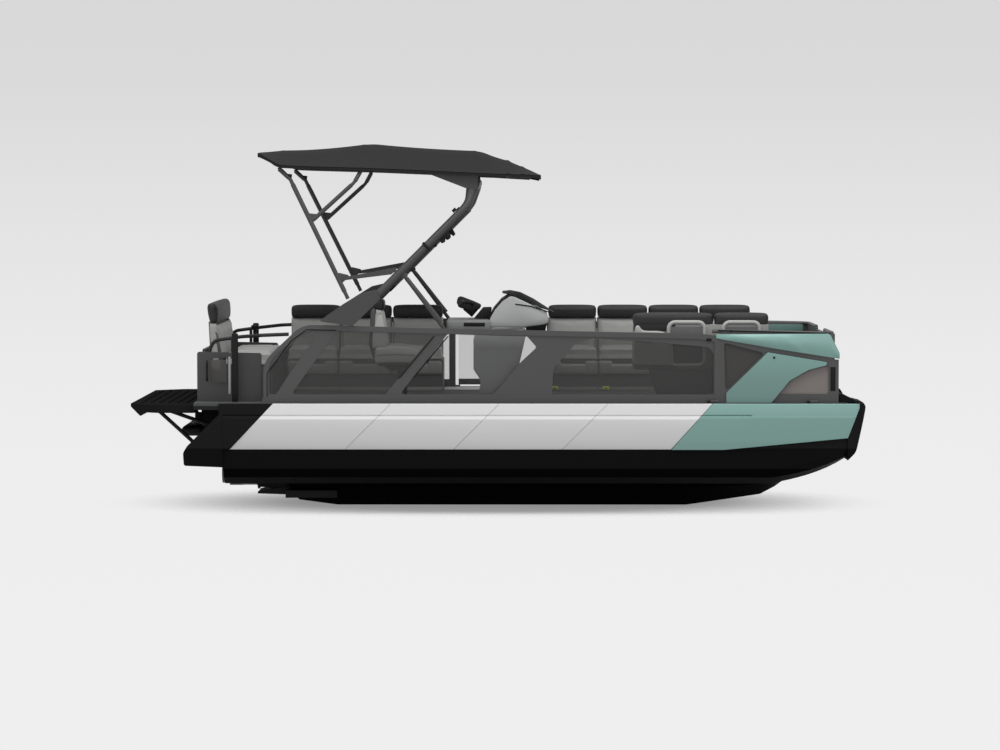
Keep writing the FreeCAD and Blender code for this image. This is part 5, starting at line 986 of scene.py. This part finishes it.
def make_canopy():
    low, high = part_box("canopy")
    half = high.y
    flat_half = half - canopy_shoulder
    nx = int(round((high.x - low.x) / canopy_step))
    ny = int(round(2.0 * half / canopy_step))
    top = []
    for i in range(nx + 1):
        x = low.x + (high.x - low.x) * i / nx
        crown = smooth_drop(x, 1)
        edge = smooth_drop(x, 2)
        for j in range(ny + 1):
            y = -half + 2.0 * half * j / ny
            slope = max(0.0, (abs(y) - flat_half) / (half - flat_half))
            round_off = 0.012 * math.exp(-((abs(y) - flat_half) / 0.05) ** 2)
            drop = crown + (edge - crown) * slope + round_off
            sag = 0.0
            for first, second in zip(canopy_seams, canopy_seams[1:]):
                if first < x < second:
                    t = (x - first) / (second - first)
                    sag = 0.010 * math.sin(math.pi * t) * (1.0 - min(1.0, slope) ** 2)
            seam = max([math.exp(-((x - s) / 0.012) ** 2) for s in canopy_seams]
                       + [math.exp(-((abs(y) - flat_half - 0.01) / 0.012) ** 2)])
            hem = 1.0 if min(x - low.x, high.x - x, half - abs(y)) < 0.036 else 0.0
            pocket = max(math.exp(-((x - s) / 0.016) ** 4) for s in (0.100, 0.228))
            z = high.z - 0.003 - drop - sag + 0.0022 * seam + 0.0012 * hem + 0.0065 * pocket
            top.append(Vector((x, y, z)))
    faces, rim = grid(nx + 1, ny + 1)
    below = [v - Vector((0.0, 0.0, canopy_sheet)) for v in top]
    count = len(top)
    area = sum(((top[b] - top[a]).cross(top[d] - top[a])).length for a, b, c, d in faces)
    under = [(a + count, d + count, c + count, b + count) for a, b, c, d in faces]
    walls = [(a, b, b + count, a + count) for a, b in zip(rim, rim[1:] + rim[:1])]
    shapes = Shapes()
    shapes.add(top + below, faces + under + walls)
    edge = [top[i] for i in rim]
    inner = [Vector((v.x - 0.005 * (1 if v.x > high.x - 0.01 else -1 if v.x < low.x + 0.01 else 0),
                     v.y - math.copysign(0.005, v.y) * (abs(v.y) > half - 0.01), v.z)) for v in edge]
    outer_low = [v - Vector((0.0, 0.0, valance(v, low, high))) for v in edge]
    inner_low = [Vector((i.x, i.y, o.z)) for i, o in zip(inner, outer_low)]
    ring = len(edge)
    quads = []
    for k in range(ring):
        for level in range(4):
            low_ring, high_ring = level * ring, (level + 1) % 4 * ring
            n = (k + 1) % ring
            quads.append((low_ring + k, low_ring + n, high_ring + n, high_ring + k))
    shapes.add(edge + outer_low + inner_low + [v - Vector((0.0, 0.0, 0.001)) for v in inner], quads)
    piece = shapes.put("canopy_sheet", "canopy_fabric", angle=70.0)
    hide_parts("canopy")
    canopy_bows(high, half, flat_half)


# Side cladding: long panels that lean in under a ledge, with slanted seams
cladding_profile = ((1.262, 0.9755), (1.2765, 0.9755), (1.2790, 0.9725), (1.2790, 0.8790), (1.2780, 0.8775),
                    (1.2715, 0.8765), (1.2715, 0.8700), (1.2750, 0.8690), (1.2845, 0.8420), (1.2848, 0.8360),
                    (1.2800, 0.7500), (1.2750, 0.6600), (1.2700, 0.5900), (1.2665, 0.5780), (1.262, 0.5755))
cladding_seams = ((-2.329, -1.949), (-1.324, -0.922), (-0.379, 0.023), (0.567, 0.969), (1.516, 1.876))


def make_cladding():
    bottom, top = 0.574, 0.976
    shapes = Shapes()
    for side in (-1.0, 1.0):
        for (foot0, head0), (foot1, head1) in zip(cladding_seams, cladding_seams[1:]):
            verts = []
            for y, z in cladding_profile:
                share = (z - bottom) / (top - bottom)
                verts.append((foot0 + (head0 - foot0) * share + 0.0015, side * y, z))
                verts.append((foot1 + (head1 - foot1) * share - 0.0015, side * y, z))
            count = len(cladding_profile)
            faces = [(2 * k, 2 * k + 1, 2 * k + 3, 2 * k + 2) for k in range(count - 1)]
            faces.append((2 * count - 2, 2 * count - 1, 1, 0))
            faces.append(tuple(2 * k for k in range(count - 1, -1, -1)))
            faces.append(tuple(2 * k + 1 for k in range(count)))
            if side > 0:
                faces = [tuple(reversed(f)) for f in faces]
            shapes.add(verts, faces)
    piece = shapes.put("white_cladding", "panel_white", angle=20.0)
    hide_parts("side_panels")


# Port gate: a clear leaf in a slim frame
def make_port_gate():
    low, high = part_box("port_gate")
    middle = (low.y + high.y) / 2.0
    near, far = middle - 0.016, middle + 0.016
    base = low.z + 0.016
    lid = high.z - 0.016
    shapes = Shapes()
    shapes.block((low.x + 0.004, near, base), (high.x, far, base + 0.055), 0.006)
    shapes.block((low.x + 0.004, near, lid - 0.040), (high.x, far, lid), 0.006)
    shapes.block((high.x - 0.030, near, base + 0.05), (high.x, far, lid - 0.036), 0.006)
    shapes.block((low.x + 0.004, middle - 0.003, base + 0.052), (high.x - 0.028, middle + 0.003, lid - 0.038),
                 0.001, 1)
    for z0, z1 in ((low.z, base + 0.01), (lid - 0.01, high.z)):
        shapes.tube([(low.x + 0.012, middle, z0), (low.x + 0.012, middle, z1)], 0.006, 0, 12)
    piece = shapes.put("side_gate_leaf", "fence_grey pane_clear", body="side_gate")
    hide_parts("port_gate")
    # A pale patch on the deck inside the gate: painted light, where light through the gate falls on the deck.
    plate = Shapes()
    plate.block((-0.500, 0.700, 0.9805), (-0.160, 1.105, 0.9845), 0.0015)
    plate.put("gate_light_patch", "threshold_pale", "fence_grey", angle=40.0)


# Trim of the fences, stern, bow and tower
fence_face = 1.1925
stern_face = 1.158
cleat_line = 1.238


def crosswise(side, near, far):
    """The two ends of a span across the boat, on one side of it, the lower first."""
    return sorted((side * near, side * far))


def make_fence_trim():
    """Slanted strips on the fences, a line round each rear panel, and the latches under the port seats."""
    shapes = Shapes()
    for side in (-1.0, 1.0):
        for (x0, z0), (x1, z1) in (((-0.546, 1.560), (-0.851, 1.194)), ((-0.424, 1.560), (-0.729, 1.194))):
            if side > 0 and x1 > -0.8:
                continue
            line = [(x0 - 0.007, z0), (x0 + 0.007, z0), (x1 + 0.007, z1), (x1 - 0.007, z1)]
            shapes.prism(line, *crosswise(side, fence_face - 0.001, fence_face + 0.003), 0.001)
        rear = ((-2.003, 1.030), (-2.003, 1.235), (-1.790, 1.522), (-1.655, 1.618), (-1.400, 1.611))
        shapes.tube([(x, side * 1.1905, z) for x, z in rear], 0.005, 0, 8)
    shapes.put("fence_edge_strips", "trim_black", "strut_black", angle=40.0)
    green = Shapes()
    for x in (-1.883, 0.531, 1.003):
        green.block((x - 0.028, 0.522, 0.992), (x + 0.028, 0.5435, 1.022), 0.003)
        green.block((x - 0.014, 0.518, 1.000), (x + 0.014, 0.524, 1.010), 0.002, 1)
    green.put("lid_latches", "latch_green trim_black", "base_grey", angle=40.0)


def make_stern_trim():
    """Handles, posts and light windows of the stern fence, and the step roll under the transom."""
    dark, pale = Shapes(), Shapes()
    for side in (-1.0, 1.0):
        y0, y1 = crosswise(side, stern_face - 0.020, stern_face + 0.004)
        dark.block((-2.314, y0, 0.985), (-2.258, y1, 1.584), 0.010)
        y0, y1 = crosswise(side, stern_face - 0.004, stern_face + 0.003)
        pale.block((-2.343, y0, 1.055), (-2.324, y1, 1.380), 0.002)
        y0, y1 = crosswise(side, stern_face - 0.010, stern_face - 0.004)
        pale.block((-2.492, y0, 1.155), (-2.360, y1, 1.352), 0.002, 1)
        root, grip = side * (stern_face + 0.001), side * (stern_face + 0.026)
        handle = ((root, 1.172), (grip, 1.192), (grip, 1.256), (grip, 1.320), (root, 1.340))
        dark.tube(curve_points([(-2.5285, y, z) for y, z in handle]), 0.011, 0, 12)
    dark.block((-2.836, -0.40, 0.628), (-2.645, 0.40, 0.718), 0.036, 0, 4)
    for y in (-0.30, 0.30):
        dark.block((-2.720, y - 0.03, 0.700), (-2.655, y + 0.03, 0.838), 0.010)
    dark.tube([(-2.285, 1.000, 1.470), (-2.285, 1.000, 1.545)], 0.014, 0, 12)
    dark.disc((-2.285, 1.000, 1.540), (0.0, 0.0, 1.0), 0.034, 0.030)
    dark.put("stern_handles", "trim_black", "strut_black")
    pale.put("stern_fence_lights", "light_trim pane_bow", "fence_grey", angle=40.0)


def make_bow_trim():
    """Darker teal skins inside the bow fence, painted as shade, the bolts and edges outside it with a black
    strip of painted shadow under the rail, and two cleats on each side.
    """
    teal, dark, pale = Shapes(), Shapes(), Shapes()
    for side in (-1.0, 1.0):
        y0, y1 = crosswise(side, 1.1400, 1.1460)
        teal.prism([(1.935, 1.470), (1.945, 1.580), (2.880, 1.572), (2.880, 1.440)], y0, y1, 0.002)
        for x in (1.893, 2.762):
            y0, y1 = crosswise(side, 1.215, 1.262)
            pale.block((x - 0.032, y0, 0.9765), (x + 0.032, y1, 0.982), 0.002)
            y = side * cleat_line
            for end in (-1.0, 1.0):
                pale.tube([(x + end * 0.018, y, 0.981), (x + end * 0.014, y, 0.994)], 0.005)
            pale.tube([(x - 0.034, y, 0.996), (x + 0.034, y, 0.996)], 0.006)
            dark.block((x - 0.062, y0, 0.9765), (x - 0.036, y1, 1.000), 0.006)
        for x, z in ((1.918, 1.622), (2.041, 1.604), (1.823, 1.533)):
            y = skin_y("bow_fence", x, z, side)
            if y is not None:
                dark.disc((x, y - side * 0.002, z), (0.0, side, 0.0), 0.011, 0.010)
        # A black strip under the bow rail: painted shadow that the rail casts on the beak.
        y0, y1 = crosswise(side, 1.1940, 1.2005)
        dark.prism([(1.925, 1.604), (2.902, 1.580), (2.902, 1.592), (1.925, 1.616)], y0, y1, 0.001)
        y = skin_y("bow_fence", 2.930, 1.190, side)
        if y is not None:
            y0, y1 = sorted((y - side * 0.004, y + side * 0.003))
            dark.block((2.908, y0, 1.083), (2.953, y1, 1.292), 0.002)
        y0, y1 = crosswise(side, 1.1700, 1.1965)
        dark.prism([(1.838, 0.982), (1.850, 1.004), (1.905, 1.000), (1.925, 0.982)], y0, y1, 0.003)
        dark.block((1.826, y0, 1.516), (1.872, y1, 1.542), 0.005)
        y = skin_y("bow_lower_panels", 2.415, 1.375, side)
        if y is not None:
            dark.disc((2.415, y - side * 0.002, 1.375), (0.0, side, 0.0), 0.010, 0.008)
    teal.put("bow_inner_skins", "teal_shade", "panel_teal", angle=40.0)
    dark.put("bow_bolts", "trim_black", "strut_black")
    pale.put("bow_cleats", "jet_metal")


beak_low = ((1.910, 1.545), (1.980, 1.529), (2.459, 1.447), (2.985, 1.364))
beak_high = ((1.910, 1.578), (2.901, 1.583), (2.996, 1.398))


def make_beaks():
    """Teal beaks under the bow rail: they swell outwards, with a crease where the front facet begins."""
    shapes = Shapes()
    nx, nz = 56, 12
    rear, crease_x, front = 1.912, 2.560, 2.986
    for side in (-1.0, 1.0):
        outer = []
        for i in range(nx + 1):
            x = rear + (front - rear) * i / nx
            z0, z1 = line_height(beak_low, x), line_height(beak_high, x)
            past = max(0.0, (x - crease_x) / (2.990 - crease_x))
            swell = min(1.0, (x - rear) / 0.30) * (1.0 - past * 0.55)
            for j in range(nz + 1):
                t = j / nz
                ridge = crease_x - 0.10 + 0.20 * (1.0 - t)
                fold = 0.010 * max(0.0, 1.0 - abs(x - ridge) / 0.09)
                curve = math.sin(math.pi * min(1.0, 0.12 + 0.80 * (1.0 - t)))
                y = 1.199 + 0.034 * swell * curve + fold * (1.0 - t)
                outer.append((x, side * y, z0 + (z1 - z0) * t))
        inner = [(x, side * 1.1935, z) for x, y, z in outer]
        shapes.add(*slab(outer, inner, nz + 1, side > 0))
    piece = shapes.put("bow_beak_skins", "panel_teal", angle=30.0)
    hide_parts("bow_beaks")


tower_line = (Vector((-1.106, 1.846)), Vector((-0.231, 2.721)), Vector((-0.179, 2.920)))
leg_slimness = 0.74
leg_top, leg_inner = 2.840, 0.95


def make_tower():
    """The tower's arch, its legs drawn in to an oval section and full again where they meet the canopy."""
    mesh = nodes["tower_arch"].data
    verts = []
    for vertex in mesh.vertices:
        v = vertex.co
        here = Vector((v.x, v.z))
        best = None
        for a, b in zip(tower_line, tower_line[1:]):
            run = b - a
            share = max(0.0, min(1.0, (here - a).dot(run) / run.dot(run)))
            spot = a + run * share
            if best is None or (here - spot).length < (here - best).length:
                best = spot
        fade = max(0.0, min(1.0, (leg_top - v.z) / 0.10)) if abs(v.y) > leg_inner else 0.0
        keep = 1.0 - (1.0 - leg_slimness) * fade
        verts.append((best.x + (v.x - best.x) * keep, v.y, best.y + (v.z - best.y) * keep))
    shapes = Shapes()
    shapes.add(verts, [tuple(face.vertices) for face in mesh.polygons])
    piece = shapes.put("tower_legs", "tower_grey", angle=30.0)
    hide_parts("tower_arch")


def leg_span(x, z, side):
    """The inner face, outer face and middle of a tower leg at a place in the side view."""
    outer = skin_y("tower_arch", x, z, side)
    hit, place, normal, face = nodes["tower_arch"].ray_cast(Vector((x, 0.0, z)), Vector((0.0, side, 0.0)))
    return (place.y, outer, (place.y + outer) / 2.0) if hit and outer is not None else None


def make_tower_trim():
    """A clamp, a dark strip, a bracket and a pin on each tower leg, and a boss on each strut's knee."""
    shapes = Shapes()
    turn = math.sqrt(0.5)
    for side in (-1.0, 1.0):
        span = leg_span(-0.629, 2.323, side)
        if span:
            y0, y1 = sorted((span[0] - side * 0.007, span[1] + side * 0.007))
            cx, cz, long, wide = -0.612, 2.340, 0.048, 0.012
            corners = [(cx + turn * (a * wide - b * long), cz + turn * (a * wide + b * long))
                       for a, b in ((-1, -1), (1, -1), (1, 1), (-1, 1))]
            shapes.prism(corners, y0, y1, 0.006)
        line = []
        for k in range(13):
            x = -1.040 + 0.760 * k / 12.0
            z = 1.846 + (x + 1.106)
            span = leg_span(x, z, side)
            if span:
                line.append((x + 0.0235, span[2], z - 0.0235))
        if len(line) > 2:
            shapes.tube(line, 0.0105, 0, 8)
        span = leg_span(-0.500, 2.452, side)
        if span:
            bracket = [(-0.530, 2.425), (-0.440, 2.500), (-0.398, 2.425), (-0.416, 2.402), (-0.443, 2.422),
                       (-0.452, 2.378), (-0.480, 2.366), (-0.506, 2.398)]
            shapes.prism(bracket, span[2] - 0.022, span[2] + 0.022, 0.006)
        x, z = -0.362, 2.647
        span = leg_span(x, z, side) or leg_span(x - turn * -0.03, z + turn * -0.03, side)
        if span:
            shapes.tube([(x, span[2], z), (x - turn * 0.028, span[2], z + turn * 0.028)], 0.020, 0, 14)
    for side in (-1.0, 1.0):
        shapes.disc((-1.824, side * 1.042, 2.957), (0.86, 0.0, -0.1), 0.017, 0.034)
    shapes.put("tower_trim", "trim_black", "strut_black")
    make_strut_sleeves()


strut_foot, strut_knee, strut_head = (-1.296, 1.178, 1.887), (-1.806, 1.040, 2.929), (-1.906, 1.040, 3.020)
diagonal_low, diagonal_knee = (-1.6224, 1.0897, 2.5539), (-1.241, 1.0897, 2.900)
diagonal_high = (-1.184, 1.045, 3.005)
brace_top, brace_foot = (-0.816, 1.158, 2.101), (-0.451, 1.150, 1.640)
# Each sleeve: the ends of its tube, its first and last share of that length, and its radius
sleeves = ((strut_foot, strut_knee, 0.06, 0.955, 0.0205), (strut_knee, strut_head, 0.10, 0.96, 0.0200),
           (diagonal_low, diagonal_knee, 0.05, 0.93, 0.0185),
           (diagonal_knee, diagonal_high, 0.12, 0.92, 0.0185), (brace_top, brace_foot, 0.08, 0.90, 0.0200))
plates = (([(-1.672, 2.610), (-1.640, 2.630), (-1.560, 2.622), (-1.575, 2.590), (-1.615, 2.545)], 1.0897),
          ([(-1.400, 2.100), (-1.375, 2.112), (-1.290, 2.092), (-1.300, 2.062), (-1.352, 2.020)], 1.153),
          ([(-0.905, 2.128), (-0.840, 2.150), (-0.775, 2.100), (-0.780, 2.060), (-0.850, 2.075)], 1.158))


def make_strut_sleeves():
    """Padded sleeves along the struts and braces, with plates where they meet."""
    shapes = Shapes()
    for side in (-1.0, 1.0):
        for start, end, first, last, radius in sleeves:
            a, b = [Vector((x, side * y, z)) for x, y, z in (start, end)]
            shapes.tube([a + (b - a) * first, a + (b - a) * last], radius, 0, 16)
        for corners, y in plates:
            shapes.prism(corners, *crosswise(side, y - 0.012, y + 0.012), 0.004)
    shapes.put("strut_sleeves", "tower_grey")


set_camera()
set_world()
set_lights()
make_floor()
dress_nodes()
make_benches()
make_chair()
make_helm()
make_canopy()
make_cladding()
make_port_gate()
make_fence_trim()
make_stern_trim()
make_beaks()
make_bow_trim()
make_tower_trim()
make_tower()

scene.view_settings.view_transform = "Standard"
